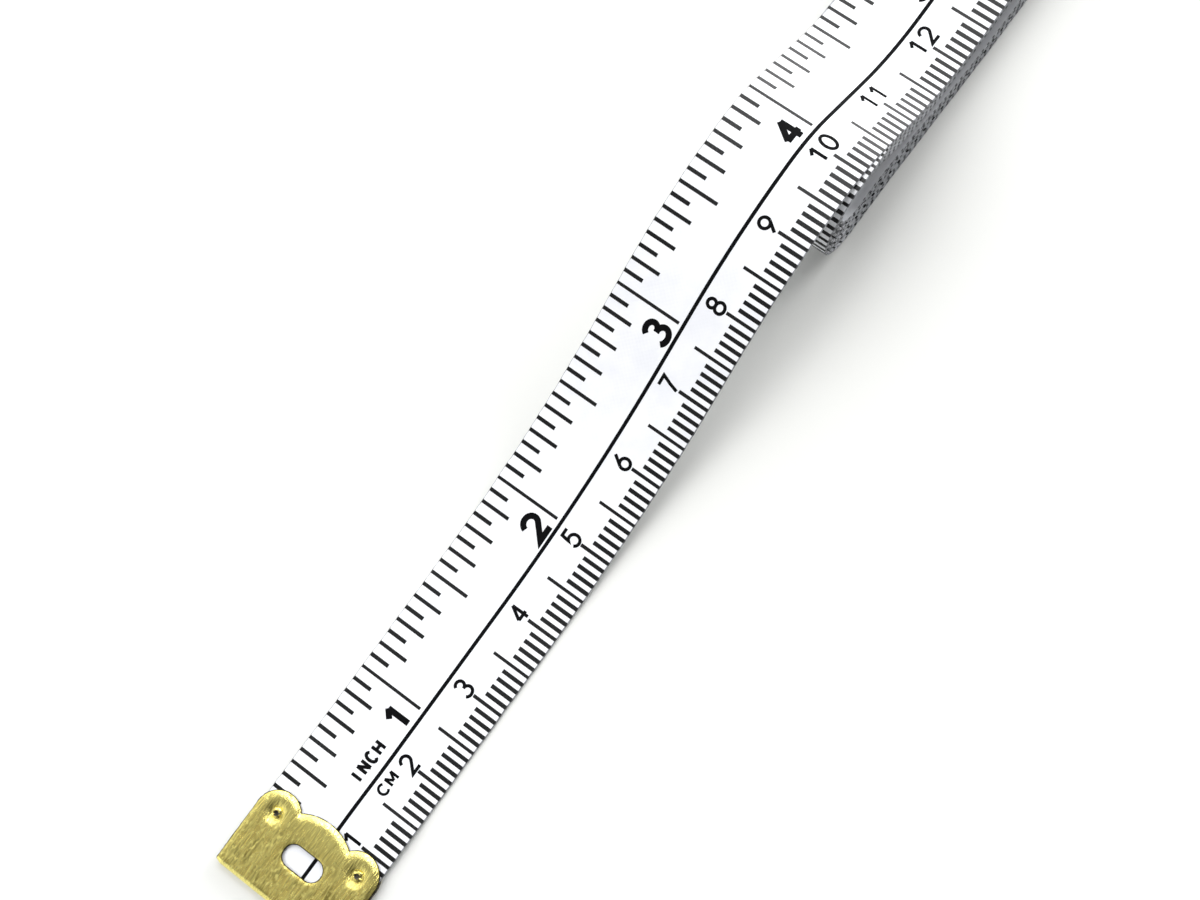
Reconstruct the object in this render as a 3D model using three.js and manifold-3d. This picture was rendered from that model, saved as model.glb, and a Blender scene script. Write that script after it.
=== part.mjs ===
// Cloth tape measure: a coated cloth strip with a folded brass tip on each end, wound into a flattened roll,
// with its first stretch drawn off over the top of the roll and laid on the table.
// Millimetres, +Z up. The tape runs along +X from its free tip to the roll, and its width lies along Y.
import * as THREE from 'three';
import { mergeVertices } from 'three/addons/utils/BufferGeometryUtils.js';
import Module from 'manifold-3d';

const degrees = THREE.MathUtils.degToRad;

// Tape
const TAPE_WIDTH = 15.8;
const TAPE_THICKNESS = 0.4;

// Free stretch, measured along the middle of the tape's thickness
const CREST_HEIGHT = 13.8;
const FLAT_LENGTH = 39.48;
const RAMP_SLOPE = degrees(24);
const FOOT_RADIUS = 76;
const CREST_RADIUS = 44;

// Rigid sections that the free stretch bends between
const SECTION_COUNT = 5;
const SECTION_LENGTH = 18;
const CREST_TO_HINGE = 5;
const HINGE_GAP = 0.4;

// Flattened roll: two bulged ends and a thin waist
const ROLL_SPAN = 93.6;
const WAIST_HEIGHT = 5.2;
const BULGE_RADIUS = 12;
const WAIST_RADIUS = 22;
const BULGE_SLOPE = degrees(30);
const NOSE_SHIFT = 2;
const NOSE_BULGE_RADIUS = 6;
const TURN_PITCH = 0.85;
const TURN_END_GAP = 0.4;
const EYE_WALL = 2.3;
const EYE_MOUTH = 1.6;
const REAR_TIP_INSET = 0.8;
const REAR_TIP_ROOM = 1.6;

// Brass tip, folded from one sheet; its u axis runs from the fold along the tape
const TIP_LENGTH = 10.57;
const TIP_WIDTH = 16.3;
const TIP_SHEET = 0.3;
const TIP_CLEARANCE = 0.1;
const TIP_FLOOR_GAP = 0.3;
const EAR_RADIUS = 2.7;
const EAR_CENTRE_U = 7.85;
const MIDDLE_LOBE_RADIUS = 6.1;
const WINDOW_CENTRE_U = 5.5;
const WINDOW_LENGTH = 5.1;
const WINDOW_WIDTH = 2.6;
const CRIMP_U = 7.95;
const CRIMP_SPACING = 11.3;
const CRIMP_RADIUS = 0.45;
const CRIMP_HOLE_RADIUS = 0.75;
const DIMPLE_RADIUS = 1;
const DIMPLE_DEPTH = 0.22;
const TAPE_END_INSET = 0.7;
const TIP_TO_STEP = 1;
const STEP_RADIUS = 50;

// Facets
const ARC_STEP = degrees(7.5);
const ROUND_SEGMENTS = 20;
const GAP_SAMPLE_STEP = 0.25;

// Worked-out sizes
const TABLE_LEVEL = TAPE_THICKNESS / 2;
const TIP_SLOT = TAPE_THICKNESS + 2 * TIP_CLEARANCE;
const TIP_THICKNESS = TIP_SLOT + 2 * TIP_SHEET;
const TIP_LEVEL = TIP_THICKNESS / 2;
const FAR_NOSE_RADIUS = (CREST_HEIGHT - TABLE_LEVEL) / 2;
const FIRST_INSET = TURN_PITCH - TAPE_THICKNESS / 2;
const SECOND_INSET = FIRST_INSET + TURN_PITCH;

const wasm = await Module();
wasm.setup();

const tapeMaterial = new THREE.MeshStandardMaterial({ color: 0xf3f4f6, roughness: 0.5, metalness: 0 });
const brassMaterial = new THREE.MeshStandardMaterial({ color: 0xc9a83e, roughness: 0.38, metalness: 1 });

// Routes: a route is a list of straight and bent runs, followed from a pose on the tape's side view

const straight = (length) => ({ length, turn: 0 });
const bend = (radius, turn) => ({ length: radius * Math.abs(turn), turn });

function advance(pose, length, curvature) {
  const a = pose.a + curvature * length;
  const s = pose.s + length;
  if (curvature === 0) {
    return { x: pose.x + length * Math.cos(a), z: pose.z + length * Math.sin(a), a, s };
  }
  const x = pose.x + (Math.sin(a) - Math.sin(pose.a)) / curvature;
  const z = pose.z - (Math.cos(a) - Math.cos(pose.a)) / curvature;
  return { x, z, a, s };
}

// Points of a route from one distance along it to another
function trace(start, runs, from = start.s, to = Infinity, longestStep = Infinity) {
  const points = [];
  let pose = start;
  for (const { length, turn } of runs.filter((run) => run.length > 0)) {
    const curvature = turn / length;
    const low = Math.max(from - pose.s, 0);
    const high = Math.min(to - pose.s, length);
    if (high > low) {
      const stretch = high - low;
      const bendSteps = Math.ceil((Math.abs(curvature) * stretch) / ARC_STEP);
      const steps = Math.max(1, bendSteps, Math.ceil(stretch / longestStep));
      if (points.length === 0) points.push(advance(pose, low, curvature));
      for (let i = 1; i <= steps; i++) points.push(advance(pose, low + (stretch * i) / steps, curvature));
    }
    pose = advance(pose, length, curvature);
  }
  return points;
}

// A pose moved towards the upper side of its route
function raise(pose, height) {
  return { ...pose, x: pose.x - height * Math.sin(pose.a), z: pose.z + height * Math.cos(pose.a) };
}

// The free stretch: under the tip, down to the table, up the ramp and level again on the roll's top
function freeRuns() {
  const drop = TIP_LEVEL - TABLE_LEVEL;
  const stepTurn = Math.acos(1 - drop / (2 * STEP_RADIUS));
  const stepReach = 2 * STEP_RADIUS * stepTurn;
  const bendRise = (FOOT_RADIUS + CREST_RADIUS) * (1 - Math.cos(RAMP_SLOPE));
  const rampLength = (CREST_HEIGHT - TABLE_LEVEL - bendRise) / Math.sin(RAMP_SLOPE);
  return [
    straight(TIP_LENGTH + TIP_TO_STEP - TAPE_END_INSET),
    bend(STEP_RADIUS, -stepTurn),
    bend(STEP_RADIUS, stepTurn),
    straight(FLAT_LENGTH - TIP_LENGTH - TIP_TO_STEP - stepReach),
    bend(FOOT_RADIUS, RAMP_SLOPE),
    straight(rampLength),
    bend(CREST_RADIUS, -RAMP_SLOPE),
  ];
}

// Straight slope between a bulge's top and the waist, the same for every turn
const bothRadii = BULGE_RADIUS + WAIST_RADIUS;
const slopeRise = CREST_HEIGHT - WAIST_HEIGHT - bothRadii * (1 - Math.cos(BULGE_SLOPE));
const slopeLength = slopeRise / Math.sin(BULGE_SLOPE);
const slopeReach = bothRadii * Math.sin(BULGE_SLOPE) + slopeLength * Math.cos(BULGE_SLOPE);
const waistLength = ROLL_SPAN - 2 * slopeReach;

// The turns under the outer one bend round a centre of their own, set back from the crest
const bulgeCentre = CREST_HEIGHT - BULGE_RADIUS;
const noseRoom = BULGE_RADIUS - TURN_PITCH - NOSE_BULGE_RADIUS - NOSE_SHIFT * Math.sin(BULGE_SLOPE);
const noseLift = noseRoom / Math.cos(BULGE_SLOPE);
const noseCentre = bulgeCentre + noseLift;
const noseTop = noseCentre + NOSE_BULGE_RADIUS;
const noseSlope = slopeLength - NOSE_SHIFT * Math.cos(BULGE_SLOPE) + noseLift * Math.sin(BULGE_SLOPE);

// Runs of the roll's upper side, set in from its outer turn
const noseBulge = (inset) => [bend(NOSE_BULGE_RADIUS - inset, -BULGE_SLOPE), straight(noseSlope)];
const waistAndFarBulge = (inset) => [
  bend(WAIST_RADIUS + inset, BULGE_SLOPE),
  straight(waistLength),
  bend(WAIST_RADIUS + inset, BULGE_SLOPE),
  straight(slopeLength),
  bend(BULGE_RADIUS - inset, -BULGE_SLOPE),
];

// The outer turn, wound once round the core and tucked under its own start
function outerTurnRuns() {
  return [
    bend(BULGE_RADIUS, -BULGE_SLOPE),
    straight(slopeLength),
    ...waistAndFarBulge(0),
    bend(FAR_NOSE_RADIUS, -Math.PI),
    straight(ROLL_SPAN - NOSE_SHIFT),
    bend((noseTop - TABLE_LEVEL) / 2, -Math.PI),
    bend(NOSE_BULGE_RADIUS, -BULGE_SLOPE),
    straight(noseSlope - TURN_END_GAP),
  ];
}

const tapeStart = { x: TAPE_END_INSET, z: TIP_LEVEL, a: 0, s: TAPE_END_INSET };
const tapeRuns = [...freeRuns(), ...outerTurnRuns()];
const crest = trace(tapeStart, freeRuns()).at(-1);
const farNoseX = crest.x + ROLL_SPAN;
const overallLength = farNoseX + FAR_NOSE_RADIUS + TAPE_THICKNESS / 2;

// Solids

function toSolid(geometry) {
  const bare = geometry.clone();
  bare.deleteAttribute('normal');
  bare.deleteAttribute('uv');
  const merged = mergeVertices(bare);
  const vertProperties = Float32Array.from(merged.attributes.position.array);
  const triVerts = Uint32Array.from(merged.index.array);
  return new wasm.Manifold(new wasm.Mesh({ numProp: 3, vertProperties, triVerts }));
}

function toGeometry(solid) {
  const { vertProperties, triVerts } = solid.getMesh();
  const geometry = new THREE.BufferGeometry();
  geometry.setAttribute('position', new THREE.BufferAttribute(vertProperties, 3));
  geometry.setIndex(new THREE.BufferAttribute(triVerts, 1));
  return geometry;
}

// A flat strip that follows a route
function stripGeometry(points) {
  const positions = [];
  const indices = [];
  for (const point of points) {
    for (const [up, side] of [[1, 1], [1, -1], [-1, -1], [-1, 1]]) {
      const corner = raise(point, (up * TAPE_THICKNESS) / 2);
      positions.push(corner.x, (side * TAPE_WIDTH) / 2, corner.z);
    }
  }
  for (let ring = 0; ring < points.length - 1; ring++) {
    for (let k = 0; k < 4; k++) {
      const a = ring * 4 + k;
      const b = ring * 4 + ((k + 1) % 4);
      indices.push(a, b, b + 4, a, b + 4, a + 4);
    }
  }
  const last = (points.length - 1) * 4;
  indices.push(0, 3, 2, 0, 2, 1, last, last + 1, last + 2, last, last + 2, last + 3);
  const geometry = new THREE.BufferGeometry();
  geometry.setAttribute('position', new THREE.Float32BufferAttribute(positions, 3));
  geometry.setIndex(indices);
  return geometry;
}

// A side-view outline given the depth of a width along Y
function extrudeAcross(shape, width) {
  const geometry = new THREE.ExtrudeGeometry(shape, { depth: width, bevelEnabled: false });
  return geometry.rotateX(Math.PI / 2).translate(0, width / 2, 0);
}

// An upright round bar centred on a point
function uprightBar(x, y, z, height, topRadius, footRadius = topRadius) {
  const bar = new THREE.CylinderGeometry(topRadius, footRadius, height, ROUND_SEGMENTS);
  return toSolid(bar.rotateX(Math.PI / 2).translate(x, y, z));
}

const crimpSides = [CRIMP_SPACING / 2, -CRIMP_SPACING / 2];

// Holes that a tip's crimps pass through, cut in a tape that lies level
function cutCrimpHoles(tape, x, z) {
  const bars = crimpSides.map((y) => uprightBar(x, y, z, TIP_SLOT, CRIMP_HOLE_RADIUS));
  return bars.reduce((solid, bar) => solid.subtract(bar), tape);
}

// Plan of the tip: square fold, two round ears and a wider lobe between them
function tipPlan() {
  const half = TIP_WIDTH / 2;
  const earY = half - EAR_RADIUS;
  const lobeU = TIP_LENGTH - MIDDLE_LOBE_RADIUS;
  const apart = Math.hypot(EAR_CENTRE_U - lobeU, earY);
  const along = (apart ** 2 + MIDDLE_LOBE_RADIUS ** 2 - EAR_RADIUS ** 2) / (2 * apart);
  const toEar = Math.atan2(earY, EAR_CENTRE_U - lobeU);
  const lobeAngle = toEar - Math.acos(along / MIDDLE_LOBE_RADIUS);
  const cuspU = lobeU + MIDDLE_LOBE_RADIUS * Math.cos(lobeAngle);
  const cuspY = MIDDLE_LOBE_RADIUS * Math.sin(lobeAngle);
  const earAngle = Math.atan2(cuspY - earY, cuspU - EAR_CENTRE_U);
  const plan = new THREE.Shape();
  plan.moveTo(-TIP_SHEET, half);
  plan.lineTo(-TIP_SHEET, -half);
  plan.lineTo(EAR_CENTRE_U, -half);
  plan.absarc(EAR_CENTRE_U, -earY, EAR_RADIUS, -Math.PI / 2, -earAngle, false);
  plan.absarc(lobeU, 0, MIDDLE_LOBE_RADIUS, -lobeAngle, lobeAngle, false);
  plan.absarc(EAR_CENTRE_U, earY, EAR_RADIUS, earAngle, Math.PI / 2, false);
  plan.closePath();
  return plan;
}

// Obround window across the tip
function windowPlan() {
  const radius = WINDOW_WIDTH / 2;
  const reach = WINDOW_LENGTH / 2 - radius;
  const plan = new THREE.Shape();
  plan.absarc(WINDOW_CENTRE_U, reach, radius, 0, Math.PI, false);
  plan.absarc(WINDOW_CENTRE_U, -reach, radius, Math.PI, 2 * Math.PI, false);
  plan.closePath();
  return plan;
}

// Side view of the folded sheet
function foldProfile() {
  const outer = TIP_THICKNESS / 2;
  const inner = TIP_SLOT / 2;
  const profile = new THREE.Shape();
  profile.moveTo(TIP_LENGTH + TIP_SHEET, outer);
  profile.lineTo(outer, outer);
  profile.absarc(outer, 0, outer, Math.PI / 2, (3 * Math.PI) / 2, false);
  profile.lineTo(TIP_LENGTH + TIP_SHEET, -outer);
  profile.lineTo(TIP_LENGTH + TIP_SHEET, -inner);
  profile.lineTo(outer, -inner);
  profile.absarc(outer, 0, inner, (3 * Math.PI) / 2, Math.PI / 2, true);
  profile.lineTo(TIP_LENGTH + TIP_SHEET, inner);
  profile.closePath();
  return profile;
}

// Brass tip, centred on the tape's thickness with its fold at u = 0
function tipGeometry() {
  const depth = 2 * TIP_THICKNESS;
  const prism = (plan) => {
    const options = { depth, bevelEnabled: false, curveSegments: ROUND_SEGMENTS };
    return toSolid(new THREE.ExtrudeGeometry(plan, options).translate(0, 0, -depth / 2));
  };
  const folded = toSolid(extrudeAcross(foldProfile(), TIP_WIDTH + 2 * TIP_SHEET));
  let tip = folded.intersect(prism(tipPlan())).subtract(prism(windowPlan()));
  for (const y of crimpSides) {
    tip = tip.add(uprightBar(CRIMP_U, y, 0, TIP_SLOT + TIP_SHEET, CRIMP_RADIUS));
    const dimpleTop = TIP_THICKNESS / 2;
    const mouth = 2 * DIMPLE_RADIUS;
    tip = tip.subtract(uprightBar(CRIMP_U, y, dimpleTop, 2 * DIMPLE_DEPTH, mouth, 0));
  }
  return toGeometry(tip);
}

// Opening inside one end of the roll, its round end at x = 0 and its narrow mouth towards +X
const eyeFloor = TABLE_LEVEL + FIRST_INSET + EYE_WALL;
const tongueLevel = eyeFloor + TIP_FLOOR_GAP + TIP_THICKNESS / 2;

function eyeOutline(top, roofRadius, leastReach) {
  const roof = trace({ x: 0, z: top, a: 0, s: 0 }, [bend(roofRadius, -BULGE_SLOPE)]);
  const nose = trace({ x: 0, z: eyeFloor, a: Math.PI, s: 0 }, [bend((top - eyeFloor) / 2, -Math.PI)]);
  const mouthTop = eyeFloor + EYE_MOUTH;
  const slopeEnd = roof.at(-1).x + (roof.at(-1).z - mouthTop) / Math.tan(BULGE_SLOPE);
  const mouthX = Math.max(slopeEnd, leastReach);
  return [...roof, { x: mouthX, z: mouthTop }, { x: mouthX, z: eyeFloor }, ...nose.slice(0, -1)];
}

// The turns inside the outer one, as one solid with an opening in each end
function coreGeometry() {
  const start = { x: crest.x + NOSE_SHIFT, z: noseTop - FIRST_INSET, a: 0, s: 0 };
  const underTuck = trace(start, noseBulge(FIRST_INSET));
  const nearNose = (noseTop - FIRST_INSET - TABLE_LEVEL - FIRST_INSET) / 2;
  const rest = trace(raise(underTuck.at(-1), TURN_PITCH), [
    ...waistAndFarBulge(FIRST_INSET),
    bend(FAR_NOSE_RADIUS - FIRST_INSET, -Math.PI),
    straight(ROLL_SPAN - NOSE_SHIFT),
    bend(nearNose, -Math.PI),
  ]);
  const prism = (points, width) => {
    const outline = points.map(({ x, z }) => new THREE.Vector2(x, z));
    return toSolid(extrudeAcross(new THREE.Shape(outline), width));
  };
  const nearWall = FIRST_INSET + EYE_WALL;
  const farWall = SECOND_INSET + EYE_WALL;
  const nearEye = eyeOutline(noseTop - nearWall, NOSE_BULGE_RADIUS - nearWall, 0);
  const tipRoom = REAR_TIP_INSET + TIP_LENGTH + REAR_TIP_ROOM;
  const farEye = eyeOutline(CREST_HEIGHT - farWall, BULGE_RADIUS - farWall, tipRoom);
  const mouthX = Math.max(...farEye.map(({ x }) => x));
  const tongueEnd = REAR_TIP_INSET + TAPE_END_INSET;
  // The tape's inner end stands in the far eye as a level tongue, which the rear tip grips.
  const tongue = [
    { x: mouthX, z: tongueLevel + TAPE_THICKNESS / 2 },
    { x: tongueEnd, z: tongueLevel + TAPE_THICKNESS / 2 },
    { x: tongueEnd, z: tongueLevel - TAPE_THICKNESS / 2 },
    { x: mouthX, z: tongueLevel - TAPE_THICKNESS / 2 },
  ];
  farEye.splice(farEye.findIndex(({ z }) => z === eyeFloor), 0, ...tongue);
  const nearHole = nearEye.map(({ x, z }) => ({ x: crest.x + NOSE_SHIFT + x, z }));
  const farHole = farEye.map(({ x, z }) => ({ x: farNoseX - x, z }));
  const throughWidth = 2 * TAPE_WIDTH;
  const core = prism([...underTuck, ...rest.slice(0, -1)], TAPE_WIDTH)
    .subtract(prism(nearHole, throughWidth))
    .subtract(prism(farHole, throughWidth));
  return toGeometry(cutCrimpHoles(core, farNoseX - REAR_TIP_INSET - CRIMP_U, tongueLevel));
}

// Least distance between the outer turn and itself, measured on points along it
function leastGap(from) {
  const points = trace(tapeStart, tapeRuns, from, Infinity, GAP_SAMPLE_STEP);
  let least = Infinity;
  for (const [i, p] of points.entries()) {
    for (const q of points.slice(i + 1)) {
      if (q.s - p.s > ROLL_SPAN) least = Math.min(least, Math.hypot(q.x - p.x, q.z - p.z));
    }
  }
  return least - TAPE_THICKNESS;
}

// Assembly, with its origin under the middle of the whole length

const tapeMeasure = new THREE.Group();
tapeMeasure.position.x = -overallLength / 2;

function addMesh(name, geometry, material) {
  const mesh = new THREE.Mesh(geometry, material);
  mesh.name = name;
  tapeMeasure.add(mesh);
  return mesh;
}

const firstHinge = crest.s - CREST_TO_HINGE;
const hinges = Array.from({ length: SECTION_COUNT }, (_, k) => firstHinge - k * SECTION_LENGTH);

addMesh('tape_core', coreGeometry(), tapeMaterial);
const outerTurn = trace(tapeStart, tapeRuns, firstHinge + HINGE_GAP / 2);
addMesh('tape_outer_turn', stripGeometry(outerTurn), tapeMaterial);

hinges.forEach((hinge, k) => {
  const isLast = k === SECTION_COUNT - 1;
  const low = isLast ? tapeStart.s : hinges[k + 1] + HINGE_GAP / 2;
  const section = stripGeometry(trace(tapeStart, tapeRuns, low, hinge - HINGE_GAP / 2));
  const geometry = isLast ? toGeometry(cutCrimpHoles(toSolid(section), CRIMP_U, TIP_LEVEL)) : section;
  addMesh(`tape_section_${k + 1}`, geometry, tapeMaterial);
  const pin = trace(tapeStart, tapeRuns, hinge).at(0);
  const place = [pin.x + tapeMeasure.position.x, pin.z].map((value) => value.toFixed(3));
  console.log(`hinge ${k + 1} at x ${place[0]}, z ${place[1]}`);
});

addMesh('tip_front', tipGeometry(), brassMaterial).position.z = TIP_LEVEL;
const rearTip = addMesh('tip_rear', tipGeometry(), brassMaterial);
rearTip.position.set(farNoseX - REAR_TIP_INSET, 0, tongueLevel);
rearTip.rotation.z = Math.PI;

const turnGap = leastGap(firstHinge).toFixed(3);
console.log(`overall length ${overallLength.toFixed(2)}, least gap of the outer turn ${turnGap}`);

export default tapeMeasure;
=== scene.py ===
from bisect import bisect_right
from collections import namedtuple
from math import acos, ceil, cos, hypot, pi, radians, sin

import bmesh
import bpy
from bpy.props import FloatProperty, FloatVectorProperty, PointerProperty
from mathutils import Matrix, Vector, kdtree, noise


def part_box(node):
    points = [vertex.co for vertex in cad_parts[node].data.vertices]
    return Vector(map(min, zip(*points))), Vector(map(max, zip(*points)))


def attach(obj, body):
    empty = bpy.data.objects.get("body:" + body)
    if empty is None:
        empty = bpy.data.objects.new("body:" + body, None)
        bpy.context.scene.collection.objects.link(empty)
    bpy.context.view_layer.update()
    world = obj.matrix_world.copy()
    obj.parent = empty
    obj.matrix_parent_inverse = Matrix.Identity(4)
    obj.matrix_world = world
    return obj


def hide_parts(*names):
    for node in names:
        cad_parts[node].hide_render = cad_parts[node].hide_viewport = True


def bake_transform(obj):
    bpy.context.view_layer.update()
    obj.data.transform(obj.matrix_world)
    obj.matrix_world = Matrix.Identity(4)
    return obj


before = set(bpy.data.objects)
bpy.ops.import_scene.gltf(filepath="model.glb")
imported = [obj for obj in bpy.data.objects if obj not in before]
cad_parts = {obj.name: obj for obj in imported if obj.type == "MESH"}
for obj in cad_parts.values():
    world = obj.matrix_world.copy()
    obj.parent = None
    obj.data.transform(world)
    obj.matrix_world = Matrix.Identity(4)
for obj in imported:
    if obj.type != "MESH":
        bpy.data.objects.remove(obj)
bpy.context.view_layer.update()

bl_info = {
    "name": "Cloth tape measure",
    "version": (1, 0, 0),
    "blender": (4, 5, 0),
    "location": "View3D > Sidebar > Tape measure",
    "description": "Dresses the packed tape measure with printed cloth, brass tips and a studio stage",
    "category": "Object",
}

MM = 0.001
FRONT_LOW, FRONT_HIGH = (Vector(corner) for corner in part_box("tip_front"))
REAR_LOW, REAR_HIGH = (Vector(corner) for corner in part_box("tip_rear"))
STRETCH_LOW, STRETCH_HIGH = (Vector(corner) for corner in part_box("tape_section_3"))

# Levels of the tape's middle above the table
TABLE_LEVEL = 0.2 * MM
TIP_LEVEL = (FRONT_LOW.z + FRONT_HIGH.z) / 2
TONGUE_LEVEL = (REAR_LOW.z + REAR_HIGH.z) / 2
CREST_LEVEL = 13.8 * MM
WAIST_LEVEL = 5.2 * MM

# Route of the free stretch, as in the part's source
TIP_LENGTH = FRONT_HIGH.x - FRONT_LOW.x
TAPE_END_INSET = 0.7 * MM
TIP_TO_STEP = 1 * MM
STEP_RADIUS = 50 * MM
FLAT_LENGTH = 39.48 * MM
FOOT_RADIUS = 76 * MM
RAMP_SLOPE = radians(24)
CREST_RADIUS = 44 * MM
CREST_TO_HINGE = 5 * MM
SECTION_LENGTH = 18 * MM
SECTION_COUNT = 5

# Reach on each side of a hinge of the points that follow_hinge finds and leaves unused
BEND_REACH = 5 * MM

# Outer form of the roll, as in the part's source
ROLL_SPAN = 93.6 * MM
BULGE_RADIUS = 12 * MM
WAIST_RADIUS = 22 * MM
BULGE_SLOPE = radians(30)
NOSE_SHIFT = 2 * MM
FAR_NOSE_RADIUS = (CREST_LEVEL - TABLE_LEVEL) / 2

# Turns inside the roll, slack at the near end, and the tongue that ends in the rear tip
TURN_COUNT = 6
NOSE_BULGE_RADIUS = 6.4 * MM
NOSE_SLACK = 0.5 * MM
SLACK_RADIUS = 60 * MM
TONGUE_RADIUS = 30 * MM
TONGUE_LENGTH = 10.5 * MM

# How far the cloth still shows past the top where it goes inside the roll
INNER_START = 12 * MM

# How far the turns stand out sideways, towards the inch edge
SECOND_NEAR_DRIFT = -0.6 * MM
UNDER_NEAR_DRIFT = -0.05 * MM
NEAR_REACH = 8 * MM
TOP_MIDDLE_DRIFT = 0.4 * MM
TOP_MIDDLE_REACH = 24 * MM
FAR_DRIFT = -0.3 * MM
LEDGE_TURN = 2
UPPER_BOTTOM_DRIFT = -0.4 * MM
LEDGE_DRIFT = -0.5 * MM
BOTTOM_MIDDLE_REACH = 33 * MM
BOTTOM_NEAR_DRIFT = 0.15 * MM
TURN_SCATTER = 0.06 * MM
SCATTER_BY_TURN = 2.4
SCATTER_BY_PLACE = 1.3

# Places of the finishes on the pieces of cloth, of print and of brass
# The third cloth finish is the cloth inside the roll, with painted shade towards its edges
COATED, CUT, ROLLED_SHADE = range(3)
SHINY, DULL = range(2)
# The second brass finish is painted shade, on the cut rims and in the crimps' torn middles
BRIGHT, SHADED = range(2)

# Sides of a strip of cloth, counted round it, and the fray of its edges
STRIP_SIDES = 8
FRONT_SIDE = 0
BACK_SIDE = 4
FRAY_LENGTH = 0.9 * MM
FRAY_NOISE = (7.3, 0.4)

# Longest step and sharpest turn between the rings of the cloth, and the shortest run that gets a ring
STRETCH_RINGS = (0.3 * MM, radians(2))
ROLL_RINGS = (1.5 * MM, radians(5))
SHORTEST_RUN = 1e-9

# The faces of the tape, with the names of their prints
FACES = ((1, "front"), (-1, "back"))

# Scales of the print, which start a little inside the front tip's fold
SCALE_START = 0.68 * MM
FIRST_MARK = 6 * MM
INCH = 25.4 * MM
INCH_STEP = INCH / 16
CENTIMETRE = 10 * MM
METRIC_STEP = CENTIMETRE / 10

# Length of a mark and its share of the stroke, by the first of these counts that divides its number
METRIC_MARKS = {10: (3.7 * MM, 0.86), 5: (4.7 * MM, 0.77), 1: (2.7 * MM, 1.0)}
INCH_MARKS = {16: (8.14 * MM, 0.8), 8: (4.91 * MM, 0.9), 2: (3.69 * MM, 0.95), 1: (2.4 * MM, 1.0)}

# How uneven the marks are, and the steps in the noise from mark to mark, edge to edge and face to face
MARK_LENGTH_SCATTER = 0.02
MARK_STROKE_SCATTER = 0.06
MARK_NOISE = (0.73, 5.1, 2.7)

# Longest marks where the print shows and on the ledges between the layers
FULL_REACH = 16 * MM
LEDGE_REACH = 0.9 * MM
FRONT_LEDGE_TURNS = (1, 2)
NEAR_LEDGE = 8 * MM

# Numbers: width, stroke and gap of a digit as shares of its height, and their places
METRIC_DIGIT_SHARES = (0.66, 0.15, 0.1)
METRIC_MARK_TOP = 3.66 * MM
METRIC_NUMBER_RISE = 1.35 * MM
INCH_DIGIT_SHARES = (0.75, 0.2, 0.08)
INCH_NUMBER_BACK = 2.15 * MM
INCH_NUMBER_RISE = 2.15 * MM
SECOND_DIGIT_BACK = 0.4

# Unit words, with their places from the long line
Lettering = namedtuple("Lettering", "height width stroke gap")
UNITS_PLACE = 17.6 * MM
INCH_WORD = Lettering(1.7 * MM, 1.15 * MM, 0.38 * MM, 0.16 * MM)
INCH_WORD_SHIFT = 0.55 * MM
INCH_WORD_RISE = 1.85 * MM
METRIC_WORD = Lettering(1.45 * MM, 1.35 * MM, 0.3 * MM, 0.1 * MM)
METRIC_WORD_DROP = 1.35 * MM

# Pen of the numbers and words: its steps along straight and round strokes, its corners and its levels
PEN_STEP = 0.4 * MM
ARC_STEP = 15
LEAST_ARC_STEPS = 4
CORNER_LIMIT = 0.35
PEN_LEVELS = 4
LEVEL_STEP = 0.001 * MM

# Plan of a brass tip, as in the part's source
TIP_WIDTH = FRONT_HIGH.y - FRONT_LOW.y
TIP_HALF_HEIGHT = (FRONT_HIGH.z - FRONT_LOW.z) / 2
EAR_RADIUS = 2.7 * MM
EAR_CENTRE = Vector((7.85 * MM, TIP_WIDTH / 2 - EAR_RADIUS))
LOBE_RADIUS = 6.1 * MM
LOBE_CENTRE = TIP_LENGTH - LOBE_RADIUS
WINDOW_CENTRE = 5.5 * MM
WINDOW_LENGTH = 5.1 * MM
WINDOW_WIDTH = 2.6 * MM
CRIMP_PLACE = Vector((7.95 * MM, 5.65 * MM))

# Steps of the brass blank's outlines and grid, with those round a hole in degrees
EAR_STEPS = 14
LOBE_STEPS = 20
HOLE_STEP = 12
OUTLINE_STEP = 0.05 * MM
GRID_STEP = 0.32 * MM
FOLD_STEPS = 6
MERGE_DISTANCE = 0.06 * MM
EDGE_BEVEL = 0.08 * MM

# Crimps: rings of the dimple as shares of its radius and depth, and the tear in its middle
CRIMP_SIDES = 32
CRIMP_OVERLAP = 0.02 * MM
CRIMP_RINGS = [(1.0, 0.0), (0.85, 0.18), (0.72, 0.1), (0.6, -0.3), (0.5, -0.35), (0.4, 0.1), (0.28, 0.5)]
CRIMP_WALL = 0.08 * MM
TORN_SHARE = 0.75
# DARK_SHARE is the share of a crimp's radius painted dark as the shade of its tear
DARK_SHARE = 0.47
TEAR_LENGTH = 0.35 * MM
TEAR_SHIFTS = (0.16 * MM, -0.12 * MM, 0.12 * MM)
TEAR_SEED = 3.7

# Unevenness of the finishes: patches to the metre each way, and the noise where they start and are full
Mottling = namedtuple("Mottling", "scale low high")
COAT_PATCHES = Mottling((260.0, 260.0, 1.0), 0.38, 0.66)
COAT_WEAR = Mottling((900.0, 900.0, 1.0), 0.3, 0.7)
INK_PATCHES = Mottling((2600.0, 2600.0, 1.0), 0.4, 0.8)
EDGE_THREADS = Mottling((2600.0, 2600.0, 1.0), 0.35, 0.65)
BRASS_PATCHES = Mottling((600.0, 1000.0, 1000.0), 0.38, 0.64)
BRASS_FLECKS = Mottling((1800.0, 3600.0, 3600.0), 0.5, 0.66)
BRASS_STREAKS = Mottling((600.0, 5500.0, 5500.0), 0.42, 0.62)
BRASS_SCRATCHES = Mottling((150.0, 9000.0, 9000.0), 0.66, 0.72)
SHADE_PATCHES = Mottling((6000.0, 6000.0, 6000.0), 0.5, 0.75)
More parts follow.
